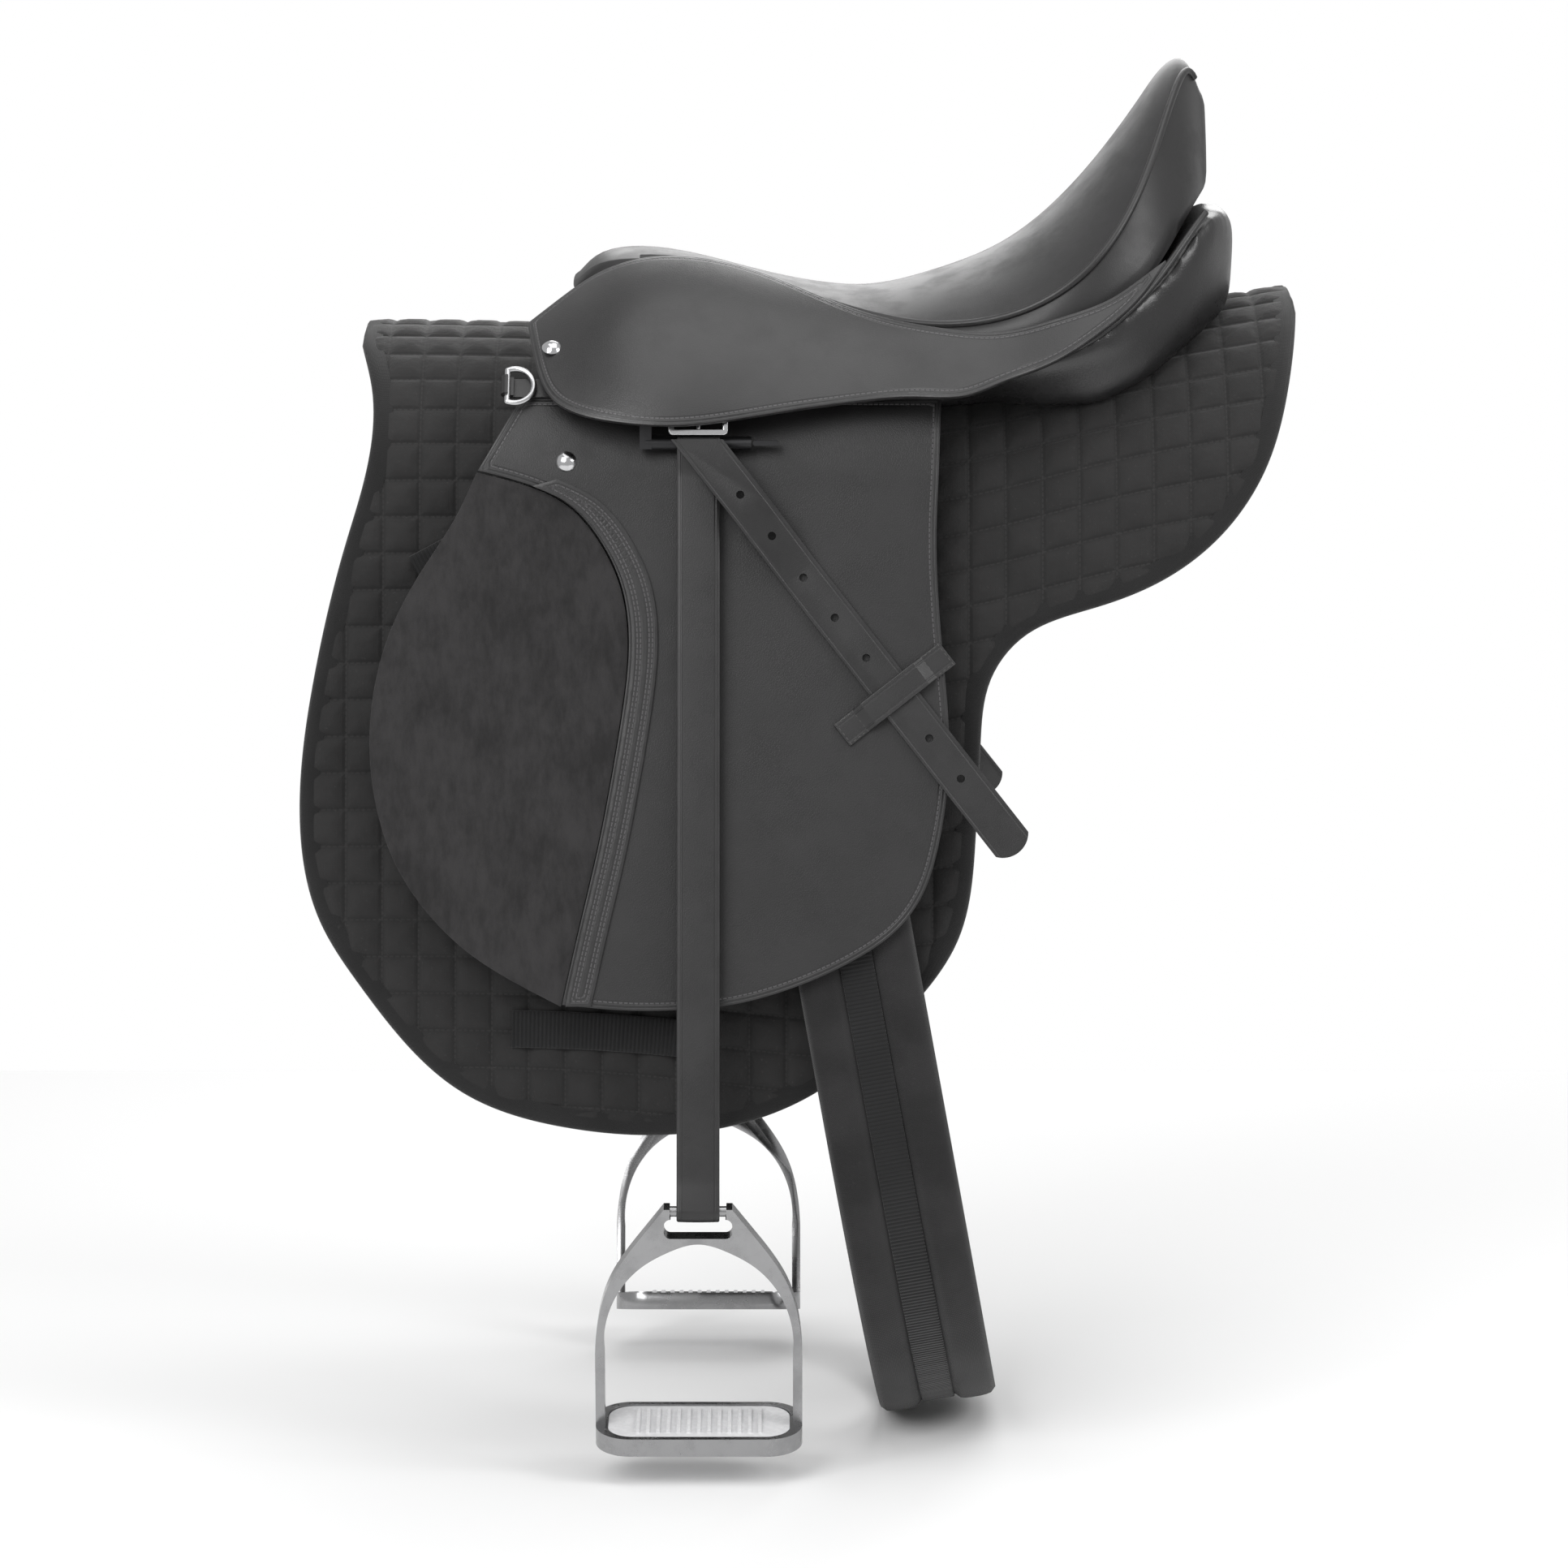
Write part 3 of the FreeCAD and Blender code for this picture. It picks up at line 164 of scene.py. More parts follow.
class Surface:
    """A curved surface of the near side that leather is laid on."""

    def flat(self, x: np.ndarray, z: np.ndarray, depth: float) -> np.ndarray:
        """Where points of the side view are, when the surface is rolled out flat."""
        raise NotImplementedError

    def lift(self, x: np.ndarray, run: np.ndarray, depth: float) -> np.ndarray:
        """Where points of the rolled out surface are in space, in millimetres."""
        raise NotImplementedError

    def facing(self, x: np.ndarray, run: np.ndarray, depth: float) -> np.ndarray:
        """The direction out of the surface at points of it."""
        step = 0.5
        along = self.lift(x + step, run, depth) - self.lift(x - step, run, depth)
        up = self.lift(x, run + step, depth) - self.lift(x, run - step, depth)
        out = np.cross(along, up)
        return out / np.linalg.norm(out, axis=1)[:, None]


@dataclass
class Arch(Surface):
    """The arch over the horse's back: a round crown and two legs that splay outwards.

    A rolled out point's second number is its distance down from the crown, negative.
    """

    stations: Sequence[tuple[float, float, float]] = ((-400, 20, 95), (0, 20, 95), (400, 20, 95))

    def __post_init__(self) -> None:
        """Fits the crown and the half width to the stations."""
        rows = np.array(self.stations, float)
        self.crown = spline(rows[:, 0], rows[:, 1])
        self.half = spline(rows[:, 0], rows[:, 2])

    def radius(self, x: np.ndarray) -> tuple[np.ndarray, np.ndarray]:
        """The crown's height and its radius at each station."""
        crown, half = self.crown(x), self.half(x)
        return crown, (half * math.cos(SPLAY) - crown * math.sin(SPLAY)) / (1 - math.sin(SPLAY))

    def flat(self, x: np.ndarray, z: np.ndarray, depth: float) -> np.ndarray:
        """Rolls points of the side view out."""
        crown, radius = self.radius(x)
        reach = radius + depth
        sine = np.clip((z - crown + radius) / reach, -1, 1)
        turn = np.arcsin(sine)
        round_part = reach * (HALF_TURN - np.maximum(turn, SPLAY))
        touch = crown - radius + reach * math.sin(SPLAY)
        straight = np.maximum(touch - z, 0) / math.cos(SPLAY)
        return np.stack([x, -(round_part + np.where(turn < SPLAY, straight, 0))], 1)

    def lift(self, x: np.ndarray, run: np.ndarray, depth: float) -> np.ndarray:
        """Lays rolled out points on the arch."""
        crown, radius = self.radius(x)
        reach = radius + depth
        turn = HALF_TURN + run / reach
        past = np.maximum(SPLAY - turn, 0) * reach
        turn = np.maximum(turn, SPLAY)
        y = -reach * np.cos(turn) - past * math.sin(SPLAY)
        z = crown - radius + reach * np.sin(turn) - past * math.cos(SPLAY)
        return np.stack([x, y, z], 1)


@dataclass
class Dome(Surface):
    """The bulging surface of the skirt, an arc about a line that rises and falls."""

    radius: float = 178.0
    stations: Sequence[Point2] = (
        (-205, -137), (-170, -121), (-140, -106), (-97, -103.5), (-28, -118), (10, -118),
        (48, -108), (90, -97), (124, -80), (150, -70), (190, -56))

    def __post_init__(self) -> None:
        """Fits the line that the arc is drawn about."""
        rows = np.array(self.stations, float)
        self.middle = spline(rows[:, 0], rows[:, 1])

    def flat(self, x: np.ndarray, z: np.ndarray, depth: float) -> np.ndarray:
        """Rolls points of the side view out."""
        turn = np.arcsin(np.clip((z - self.middle(x)) / (self.radius + depth), -1, 1))
        return np.stack([x, self.radius * turn], 1)

    def lift(self, x: np.ndarray, run: np.ndarray, depth: float) -> np.ndarray:
        """Lays rolled out points on the dome."""
        turn = run / self.radius
        reach = self.radius + depth
        return np.stack([x, -reach * np.cos(turn), self.middle(x) + reach * np.sin(turn)], 1)


PAD_ARCH = Arch(((-330, 19, 91), (-240, 18, 93), (-150, 14, 94), (-60, 4, 94), (20, 0, 94),
                 (90, 9, 100), (150, 21, 107), (210, 31, 111), (290, 44, 114)))
FLAP_ARCH = Arch()
SKIRT_DOME = Dome()


# --- modelling ----------------------------------------------------------------------------


def fresh() -> None:
    """Leaves edit mode and selects nothing, so that an operator touches only what is new."""
    if bpy.context.object and bpy.context.object.mode != "OBJECT":
        bpy.ops.object.mode_set(mode="OBJECT")
    bpy.ops.object.select_all(action="DESELECT")


def only(piece: bpy.types.Object) -> None:
    """Selects one piece and makes it the active one."""
    fresh()
    piece.select_set(True)
    bpy.context.view_layer.objects.active = piece


def apply_modifier(piece: bpy.types.Object, kind: str, **settings: object) -> None:
    """Adds a modifier to a piece and applies it.

    Args:
        piece: the piece.
        kind: Blender's name of the modifier type.
        settings: the modifier's settings.
    """
    only(piece)
    modifier = piece.modifiers.new(kind.title(), kind)
    for name, value in settings.items():
        setattr(modifier, name, value)
    bpy.ops.object.modifier_apply(modifier=modifier.name)


def positions(piece: bpy.types.Object) -> np.ndarray:
    """The places of a piece's vertices."""
    co = np.zeros(len(piece.data.vertices) * 3)
    piece.data.vertices.foreach_get("co", co)
    return co.reshape(-1, 3)


def move_to(piece: bpy.types.Object, places: np.ndarray) -> None:
    """Moves a piece's vertices to new places."""
    piece.data.vertices.foreach_set("co", np.ascontiguousarray(places, float).ravel())
    piece.data.update()


def edit(piece: bpy.types.Object, *steps: Callable[[], object]) -> None:
    """Runs some edit mode operators on all of a piece.

    Args:
        piece: the piece.
        steps: the operators, each ready to call.
    """
    only(piece)
    bpy.ops.object.mode_set(mode="EDIT")
    bpy.ops.mesh.select_all(action="SELECT")
    for step in steps:
        step()
    bpy.ops.object.mode_set(mode="OBJECT")


def smooth_faces(piece: bpy.types.Object, angle: float = 40.0) -> bpy.types.Object:
    """Shades a piece smooth, bar its sharp edges."""
    only(piece)
    bpy.ops.object.shade_smooth_by_angle(angle=math.radians(angle))
    return piece


def nearest_on(line: np.ndarray, points: np.ndarray) -> tuple[np.ndarray, np.ndarray, np.ndarray]:
    """The nearest place on a closed line to each of some points.

    Args:
        line: the line's points, in the plane.
        points: the points to measure from.

    Returns:
        The distance, the distance along the line, and the nearest place, per point.
    """
    start, step = line, np.roll(line, -1, axis=0) - line
    long = np.linalg.norm(step, axis=1)
    before = np.r_[0, np.cumsum(long)[:-1]]
    gap, run, near = [], [], []
    for block in np.array_split(points, max(1, len(points) // 2000)):
        offset = block[:, None] - start[None]
        share = np.clip((offset * step).sum(2) / np.maximum(long ** 2, 1e-9), 0, 1)
        place = start[None] + share[..., None] * step[None]
        distance = np.linalg.norm(block[:, None] - place, axis=2)
        best = distance.argmin(1)
        rows = np.arange(len(block))
        gap.append(distance[rows, best])
        run.append(before[best] + share[rows, best] * long[best])
        near.append(place[rows, best])
    return np.concatenate(gap), np.concatenate(run), np.concatenate(near)


def inside(line: np.ndarray, points: np.ndarray) -> np.ndarray:
    """Which points are inside a closed line in the plane."""
    x, y = points[:, :1], points[:, 1:]
    ax, ay = line[:, 0], line[:, 1]
    bx, by = np.roll(ax, -1), np.roll(ay, -1)
    rise = np.where(by == ay, 1e-9, by - ay)
    crosses = ((ay > y) != (by > y)) & (x < (bx - ax) * (y - ay) / rise + ax)
    return crosses.sum(1) % 2 == 1


def set_value(piece: bpy.types.Object, name: str, values: np.ndarray) -> None:
    """Stores a number per vertex, for the piece's material to read."""
    layer = piece.data.attributes.new(name, "FLOAT", "POINT")
    layer.data.foreach_set("value", np.asarray(values, np.float32))


def set_uv(piece: bpy.types.Object, flat: np.ndarray) -> None:
    """Stores where each vertex is on the rolled out surface, in metres."""
    layer = piece.data.uv_layers.new(name="rolled_out")
    index = np.zeros(len(piece.data.loops), np.int32)
    piece.data.loops.foreach_get("vertex_index", index)
    layer.data.foreach_set("uv", np.ascontiguousarray(flat[index], np.float32).ravel())


def cut_sheet(name: str, edge: np.ndarray, surface: Surface, depth: float, cell: float,
              bulge: Callable[[np.ndarray, np.ndarray], np.ndarray] | None = None,
              ) -> bpy.types.Object:
    """Cuts a sheet to an outline and lays it on a surface.

    Args:
        name: the piece's name.
        edge: the outline in the side view, in millimetres.
        surface: what it lies on.
        depth: the depth of its inside, in millimetres.
        cell: the spacing of its mesh.
        bulge: the thickness from the distance to the edge and the rolled out place, as a
            share of the thickness that is given to the sheet later.

    Returns:
        The sheet, with no thickness yet.
    """
    line = surface.flat(edge[:, 0], edge[:, 1], depth)
    low, high = line.min(0) - cell, line.max(0) + cell
    count = np.ceil((high - low) / cell).astype(int)
    fresh()
    bpy.ops.mesh.primitive_grid_add(x_subdivisions=int(count[0]), y_subdivisions=int(count[1]),
                                    size=1.0)
    piece = bpy.context.active_object
    piece.name = piece.data.name = name
    place = (positions(piece)[:, :2] + 0.5) * (high - low) + low
    gap, _, _ = nearest_on(line, place)
    keep = inside(line, place) | (gap < 0.45 * cell)
    for part in (piece.data.edges, piece.data.polygons):
        part.foreach_set("select", np.zeros(len(part), bool))
    piece.data.vertices.foreach_set("select", ~keep)
    move_to(piece, np.c_[place, np.zeros(len(place))])
    only(piece)
    bpy.ops.object.mode_set(mode="EDIT")
    bpy.ops.mesh.delete(type="VERT")
    bpy.ops.object.mode_set(mode="OBJECT")
    _snap_rim(piece, line, cell)
    flat = positions(piece)[:, :2]
    gap, run, _ = nearest_on(line, flat)
    set_value(piece, "edge_gap", gap * MM)
    set_value(piece, "edge_run", run * MM)
    set_uv(piece, flat * MM)
    move_to(piece, surface.lift(flat[:, 0], flat[:, 1], depth) * MM)
    if bulge is not None:
        group = piece.vertex_groups.new(name="thickness")
        for i, share in enumerate(bulge(gap, flat)):
            group.add([i], float(share), "REPLACE")
    return piece


def _snap_rim(piece: bpy.types.Object, line: np.ndarray, cell: float) -> None:
    """Draws the rim of a flat sheet onto its outline, and evens out the cells beside it."""
    bm = bmesh.new()
    bm.from_mesh(piece.data)
    loose = [v for v in bm.verts if not v.link_faces]
    bmesh.ops.delete(bm, geom=loose, context="VERTS")
    bm.verts.index_update()
    rim = [v for v in bm.verts if v.is_boundary]
    where = np.array([v.co[:2] for v in rim])
    _, _, near = nearest_on(line, where)
    for vertex, place in zip(rim, near):
        vertex.co = (place[0], place[1], 0)
    toward = np.roll(line, -1, axis=0) - line
    away = line - np.roll(line, 1, axis=0)
    turn = np.abs(np.arctan2(away[:, 0] * toward[:, 1] - away[:, 1] * toward[:, 0],
                             (away * toward).sum(1)))
    spots = np.array([v.co[:2] for v in rim])
    for corner in line[turn > 0.6]:
        best = int(np.linalg.norm(spots - corner, axis=1).argmin())
        rim[best].co = (corner[0], corner[1], 0)
    fixed = set(rim)
    near_rim = [v for v in bm.verts if v not in fixed
                and any(e.other_vert(v) in fixed for e in v.link_edges)]
    for _ in range(3):
        for vertex in near_rim:
            around = [e.other_vert(vertex).co for e in vertex.link_edges]
            vertex.co = sum(around, Vector()) / len(around)
    bm.to_mesh(piece.data)
    bm.free()
    piece.data.update()


def thicken(piece: bpy.types.Object, thick: float, round_share: float = 0.3,
            ) -> bpy.types.Object:
    """Gives a sheet its thickness, outwards, and rounds its rim.

    Args:
        piece: the sheet.
        thick: the thickness in millimetres.
        round_share: the rim's rounding as a share of the thickness.

    Returns:
        The same piece.
    """
    settings: dict[str, object] = {"thickness": thick * MM, "offset": 1.0,
                                   "use_even_offset": False}
    if piece.vertex_groups:
        settings.update(vertex_group="thickness", thickness_vertex_group=0.0)
    apply_modifier(piece, "SOLIDIFY", **settings)
    apply_modifier(piece, "BEVEL", width=thick * round_share * MM, segments=2,
                   limit_method="ANGLE", angle_limit=math.radians(55))
    return smooth_faces(piece, 50)


def loft(name: str, rings: np.ndarray, closed: bool = False) -> bpy.types.Object:
    """A closed skin over a row of closed rings.

    Args:
        name: the piece's name.
        rings: the rings' points in millimetres, as rows by points by three.
        closed: whether the last ring joins the first; if not, the ends are filled in.

    Returns:
        The piece, with its place along the rings and round them stored on it.
    """
    middle = len(rings) // 2
    grid = np.concatenate([rings, rings[:, :1]], 1)
    if closed:
        grid = np.concatenate([grid, grid[:1]], 0)
    step = np.linalg.norm(np.diff(grid, axis=0), axis=2).mean(1)
    along = np.r_[0, np.cumsum(step)]
    girth = np.r_[0, np.cumsum(np.linalg.norm(np.diff(grid[middle], axis=0), axis=1))]
    fresh()
    bpy.ops.mesh.primitive_grid_add(x_subdivisions=grid.shape[1] - 1,
                                    y_subdivisions=grid.shape[0] - 1, size=1.0)
    piece = bpy.context.active_object
    piece.name = piece.data.name = name
    share = positions(piece)[:, :2] + 0.5
    column = np.rint(share[:, 0] * (grid.shape[1] - 1)).astype(int)
    row = np.rint(share[:, 1] * (grid.shape[0] - 1)).astype(int)
    move_to(piece, grid[row, column] * MM)
    set_uv(piece, np.stack([along[row], girth[column]], 1) * MM)
    steps = [lambda: bpy.ops.mesh.remove_doubles(threshold=1e-6)]
    if not closed:
        steps.append(lambda: bpy.ops.mesh.fill_holes(sides=0))
    steps.append(lambda: bpy.ops.mesh.normals_make_consistent(inside=False))
    edit(piece, *steps)
    return piece


def sweep(name: str, path: np.ndarray, out: np.ndarray, section: np.ndarray,
          closed: bool = False) -> bpy.types.Object:
    """Carries a section along a path.

    Args:
        name: the piece's name.
        path: the path's points, in millimetres.
        out: the direction at each point that the section's second number is along.
        section: the closed section's points: across the path, and out.
        closed: whether the path closes.

    Returns:
        The piece.
    """
    ahead = np.roll(path, -1, axis=0) - np.roll(path, 1, axis=0)
    if not closed:
        ahead[0], ahead[-1] = path[1] - path[0], path[-1] - path[-2]
    ahead /= np.linalg.norm(ahead, axis=1)[:, None]
    across = np.cross(ahead, out)
    across /= np.linalg.norm(across, axis=1)[:, None]
    up = np.cross(across, ahead)
    rings = path[:, None] + section[None, :, :1] * across[:, None] \
        + section[None, :, 1:] * up[:, None]
    return loft(name, rings, closed)


def round_section(radius: float, sides: int = 8) -> np.ndarray:
    """A round section for a sweep."""
    turn = np.linspace(0, 2 * math.pi, sides, endpoint=False)
    return radius * np.stack([np.cos(turn), np.sin(turn)], 1)


def strap_section(wide: float, thick: float, rim: float = 0.7, dome: float = 0.25) -> np.ndarray:
    """The section of a leather strap: flat behind, slightly domed, with rounded edges."""
    half = wide / 2
    across = np.linspace(-half + rim, half - rim, 9)
    top = np.stack([across, thick + dome * (1 - (across / half) ** 2) - dome], 1)
    edge = [(half, thick - rim - dome * 0.5), (half, rim)]
    base = [(half - rim, 0), (0, 0), (-half + rim, 0)]
    other = [(-half, rim), (-half, thick - rim - dome * 0.5)]
    return np.array(list(top) + edge + base + other)


def mirrored(piece: bpy.types.Object, name: str) -> bpy.types.Object:
    """The off side twin of a near side piece, with a mesh of its own."""
    twin = piece.copy()
    twin.data = piece.data.copy()
    twin.name = twin.data.name = name
    bpy.context.collection.objects.link(twin)
    move_to(twin, positions(twin) * np.array([1, -1, 1]))
    edit(twin, lambda: bpy.ops.mesh.flip_normals())
    return twin


def from_node(name: str, node: str, bevel: float = 0.4, angle: float = 35.0,
              segments: int = 2) -> bpy.types.Object:
    """A copy of a CAD node with its edges rounded off.

    Args:
        name: the piece's name.
        node: the node.
        bevel: the rounding in millimetres.
        angle: the sharpness above which an edge is rounded.
        segments: the faces across each rounded edge.

    Returns:
        The piece.
    """
    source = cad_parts[node]
    piece = source.copy()
    piece.data = source.data.copy()
    piece.parent = None
    for key in list(piece.keys()):
        del piece[key]
    piece.name = piece.data.name = name
    bpy.context.collection.objects.link(piece)
    edit(piece, lambda: bpy.ops.mesh.remove_doubles(threshold=1e-5),
         lambda: bpy.ops.mesh.dissolve_limited(angle_limit=math.radians(1.0)))
    apply_modifier(piece, "BEVEL", width=bevel * MM, segments=segments,
                   limit_method="ANGLE", angle_limit=math.radians(angle))
    smooth_faces(piece, 40)
    apply_modifier(piece, "WEIGHTED_NORMAL", keep_sharp=True)
    return piece


# --- finishes -----------------------------------------------------------------------------


class Tree:
    """Writes the nodes of one shader tree or group."""

    def __init__(self, tree: bpy.types.NodeTree) -> None:
        """Starts with an empty tree."""
        self.tree = tree
        tree.nodes.clear()

    def add(self, kind: str, inputs: dict[str | int, object] | None = None,
            **settings: object) -> bpy.types.Node:
        """Adds a node.

        Args:
            kind: the node's type.
            inputs: a value or a socket to link, per input.
            settings: the node's properties.

        Returns:
            The node.
        """
        node = self.tree.nodes.new(kind)
        for name, value in settings.items():
            setattr(node, name, value)
        self.give(node, inputs or {})
        return node

    def give(self, node: bpy.types.Node, inputs: dict[str | int, object]) -> None:
        """Sets a node's inputs to values, or links sockets to them."""
        for name, value in inputs.items():
            if isinstance(value, bpy.types.NodeSocket):
                self.tree.links.new(value, node.inputs[name])
            else:
                node.inputs[name].default_value = value

    def group(self, group: bpy.types.NodeTree, **inputs: object) -> dict[str, Socket]:
        """The outputs of a shared group, by name, with its inputs set or linked."""
        return self.add("ShaderNodeGroup", inputs, node_tree=group).outputs

    def place(self) -> Socket:
        """The place on the object."""
        return self.add("ShaderNodeTexCoord").outputs["Object"]

    def math(self, operation: str, first: object, second: object = 0.0,
             third: object = 0.0) -> Socket:
        """A Math node's result."""
        return self.add("ShaderNodeMath", {0: first, 1: second, 2: third},
                        operation=operation).outputs[0]

    def noise(self, vector: Socket, scale: float, detail: float = 3.0,
              roughness: float = 0.5) -> Socket:
        """A noise texture's value."""
        return self.add("ShaderNodeTexNoise", {"Vector": vector, "Scale": scale,
                        "Detail": detail, "Roughness": roughness}).outputs["Fac"]

    def remap(self, value: Socket, low: float, high: float, out_low: float = 0.0,
              out_high: float = 1.0) -> Socket:
        """A value stretched from one range to another, and clamped."""
        return self.add("ShaderNodeMapRange", {"Value": value, "From Min": low,
                        "From Max": high, "To Min": out_low, "To Max": out_high},
                        interpolation_type="SMOOTHSTEP").outputs["Result"]

    def blend(self, share: object, first: object, second: object) -> Socket:
        """A mix of two colours."""
        return self.add("ShaderNodeMix", {"Factor": share, 6: first, 7: second},
                        data_type="RGBA").outputs[2]

    def dress(self, shader: bpy.types.Node, colour: Socket, height: Socket, strength: float,
              depth: float, others: dict[str, object]) -> None:
        """Gives a shader its colour, its bump and its other inputs.

        Args:
            shader: the material's shader.
            colour: its base colour.
            height: the height that the bump is made from.
            strength: the bump's strength.
            depth: the bump's depth, in metres.
            others: a value or a socket per further input.
        """
        bump = self.add("ShaderNodeBump", {"Height": height, "Strength": strength,
                        "Distance": depth})
        self.give(shader, {"Base Color": colour, "Normal": bump.outputs[0], **others})


def rgb(*values: float) -> tuple[float, float, float, float]:
    """A colour with full alpha."""
    return (*values, 1.0)


def new_group(name: str, inputs: dict[str, str], outputs: dict[str, str],
              ) -> tuple[bpy.types.NodeTree, Tree, bpy.types.Node, bpy.types.Node]:
    """Makes an empty shader group with named sockets.

    Args:
        name: the group's name.
        inputs: socket types by name.
        outputs: socket types by name.

    Returns:
        The group, its tree, its input node and its output node.
    """
    group = bpy.data.node_groups.new(name, "ShaderNodeTree")
    for label, kind in inputs.items():
        group.interface.new_socket(label, in_out="INPUT", socket_type=kind)
    for label, kind in outputs.items():
        group.interface.new_socket(label, in_out="OUTPUT", socket_type=kind)
    tree = Tree(group)
    return group, tree, tree.add("NodeGroupInput"), tree.add("NodeGroupOutput")


Material = bpy.types.Material
FLOAT, VECTOR = "NodeSocketFloat", "NodeSocketVector"
WORN_RIM = 0.0022
STITCH_PITCH = 0.0031
CREASE_INSET = 0.0026


class Effects:
    """The shader groups that several finishes share, each built once."""

    def __init__(self) -> None:
        """Builds every group."""
        self.grain = self._grain()
        self.stitch = self._stitch()
        self.wear = self._wear()
        self.weave = self._weave()
        self.nap = self._nap()
        self.handled = self._handled()

    def _grain(self) -> bpy.types.NodeTree:
        """Leather grain: small cells with creases, of a given size."""
        group, t, given, out = new_group("leather_grain", {"Place": VECTOR, "Cells": FLOAT},
                                         {"Height": FLOAT, "Tone": FLOAT})
        cells = t.add("ShaderNodeTexVoronoi", {"Vector": given.outputs["Place"],
                      "Scale": given.outputs["Cells"]}, feature="DISTANCE_TO_EDGE")
        ridge = t.remap(cells.outputs["Distance"], 0.0, 0.22)
        pores = t.noise(given.outputs["Place"], 900.0, 2.0)
        height = t.math("MULTIPLY_ADD", ridge, 0.7, t.math("MULTIPLY", pores, 0.5))
        t.tree.links.new(height, out.inputs["Height"])
        t.tree.links.new(t.noise(given.outputs["Place"], 22.0, 4.0, 0.6), out.inputs["Tone"])
        return group

    def _stitch(self) -> bpy.types.NodeTree:
        """A row of stitches at a distance from an edge."""
        group, t, given, out = new_group(
            "stitch_row", {"Gap": FLOAT, "Run": FLOAT, "Inset": FLOAT, "Pitch": FLOAT},
            {"Thread": FLOAT, "Height": FLOAT})
        off = t.math("ABSOLUTE", t.math("SUBTRACT", given.outputs["Gap"],
                                        given.outputs["Inset"]))
        share = t.math("FRACT", t.math("DIVIDE", given.outputs["Run"], given.outputs["Pitch"]))
        middle = t.math("ABSOLUTE", t.math("SUBTRACT", share, 0.5))
        across = t.remap(off, 0.00030, 0.00058, 1.0, 0.0)
        along = t.remap(middle, 0.34, 0.42, 1.0, 0.0)
        thread = t.math("MULTIPLY", across, along)
        groove = t.remap(off, 0.0006, 0.0014, -1.0, 0.0)
        t.tree.links.new(thread, out.inputs["Thread"])
        t.tree.links.new(t.math("MULTIPLY_ADD", thread, 1.6, groove), out.inputs["Height"])
        return group

    def _wear(self) -> bpy.types.NodeTree:
        """Paler leather where an edge has been rubbed."""
        group, t, given, out = new_group("edge_wear", {"Place": VECTOR, "Gap": FLOAT,
                                         "Reach": FLOAT}, {"Mask": FLOAT})
        near = t.math("SUBTRACT", 1.0, t.math("DIVIDE", given.outputs["Gap"],
                                              given.outputs["Reach"]))
        patchy = t.remap(t.noise(given.outputs["Place"], 60.0, 5.0, 0.65), 0.35, 0.7)
        mask = t.math("MULTIPLY", t.math("MAXIMUM", near, 0.0), patchy)
        t.tree.links.new(mask, out.inputs["Mask"])
        return group

    def _weave(self) -> bpy.types.NodeTree:
        """A fine twill on the rolled out cloth."""
        group, t, given, out = new_group("weave", {"Cloth": VECTOR, "Pitch": FLOAT},
                                         {"Height": FLOAT})
        split = t.add("ShaderNodeSeparateXYZ", {0: given.outputs["Cloth"]})
        turn = t.math("DIVIDE", 2 * math.pi, given.outputs["Pitch"])
        warp = t.math("SINE", t.math("MULTIPLY", split.outputs[0], turn))
        diagonal = t.math("ADD", split.outputs[0], split.outputs[1])
        weft = t.math("SINE", t.math("MULTIPLY", diagonal, turn))
        height = t.math("MULTIPLY_ADD", warp, 0.3, t.math("MULTIPLY", weft, 0.5))
        t.tree.links.new(height, out.inputs["Height"])
        return group

    def _nap(self) -> bpy.types.NodeTree:
        """Brushed fibres: short streaks and cloudy patches."""
        group, t, given, out = new_group("brushed_nap", {"Place": VECTOR},
                                         {"Height": FLOAT, "Tone": FLOAT})
        fibres = t.noise(given.outputs["Place"], 1400.0, 2.0, 0.7)
        streaks = t.add("ShaderNodeMapping", {"Vector": given.outputs["Place"],
                        "Scale": (1.0, 1.0, 0.35), "Rotation": (0.0, 0.5, 0.0)})
        rubbed = t.noise(streaks.outputs[0], 160.0, 5.0, 0.7)
        clouds = t.noise(given.outputs["Place"], 24.0, 4.0, 0.6)
        t.tree.links.new(fibres, out.inputs["Height"])
        tone = t.math("MULTIPLY_ADD", rubbed, 0.5, t.math("MULTIPLY", clouds, 0.5))
        t.tree.links.new(tone, out.inputs["Tone"])
        return group

    def _handled(self) -> bpy.types.NodeTree:
        """Where hands and weather have left a surface duller."""
        group, t, given, out = new_group("handled", {"Place": VECTOR}, {"Mask": FLOAT})
        smears = t.noise(given.outputs["Place"], 35.0, 6.0, 0.65)
        t.tree.links.new(t.remap(smears, 0.4, 0.68), out.inputs["Mask"])
        return group


def bare_material(name: str) -> tuple[Material, Tree, bpy.types.Node]:
    """A material with one Principled shader.

    Args:
        name: the material's name.

    Returns:
        The material, its tree and its shader.
    """
    material = bpy.data.materials.new(name)
    material.use_nodes = True
    tree = Tree(material.node_tree)
    shader = tree.add("ShaderNodeBsdfPrincipled")
    output = tree.add("ShaderNodeOutputMaterial")
    tree.tree.links.new(shader.outputs[0], output.inputs["Surface"])
    return material, tree, shader


def scaled(colour: Sequence[float], factor: float) -> tuple[float, float, float, float]:
    """A colour made lighter or darker."""
    return rgb(*(min(1.0, c * factor) for c in colour[:3]))


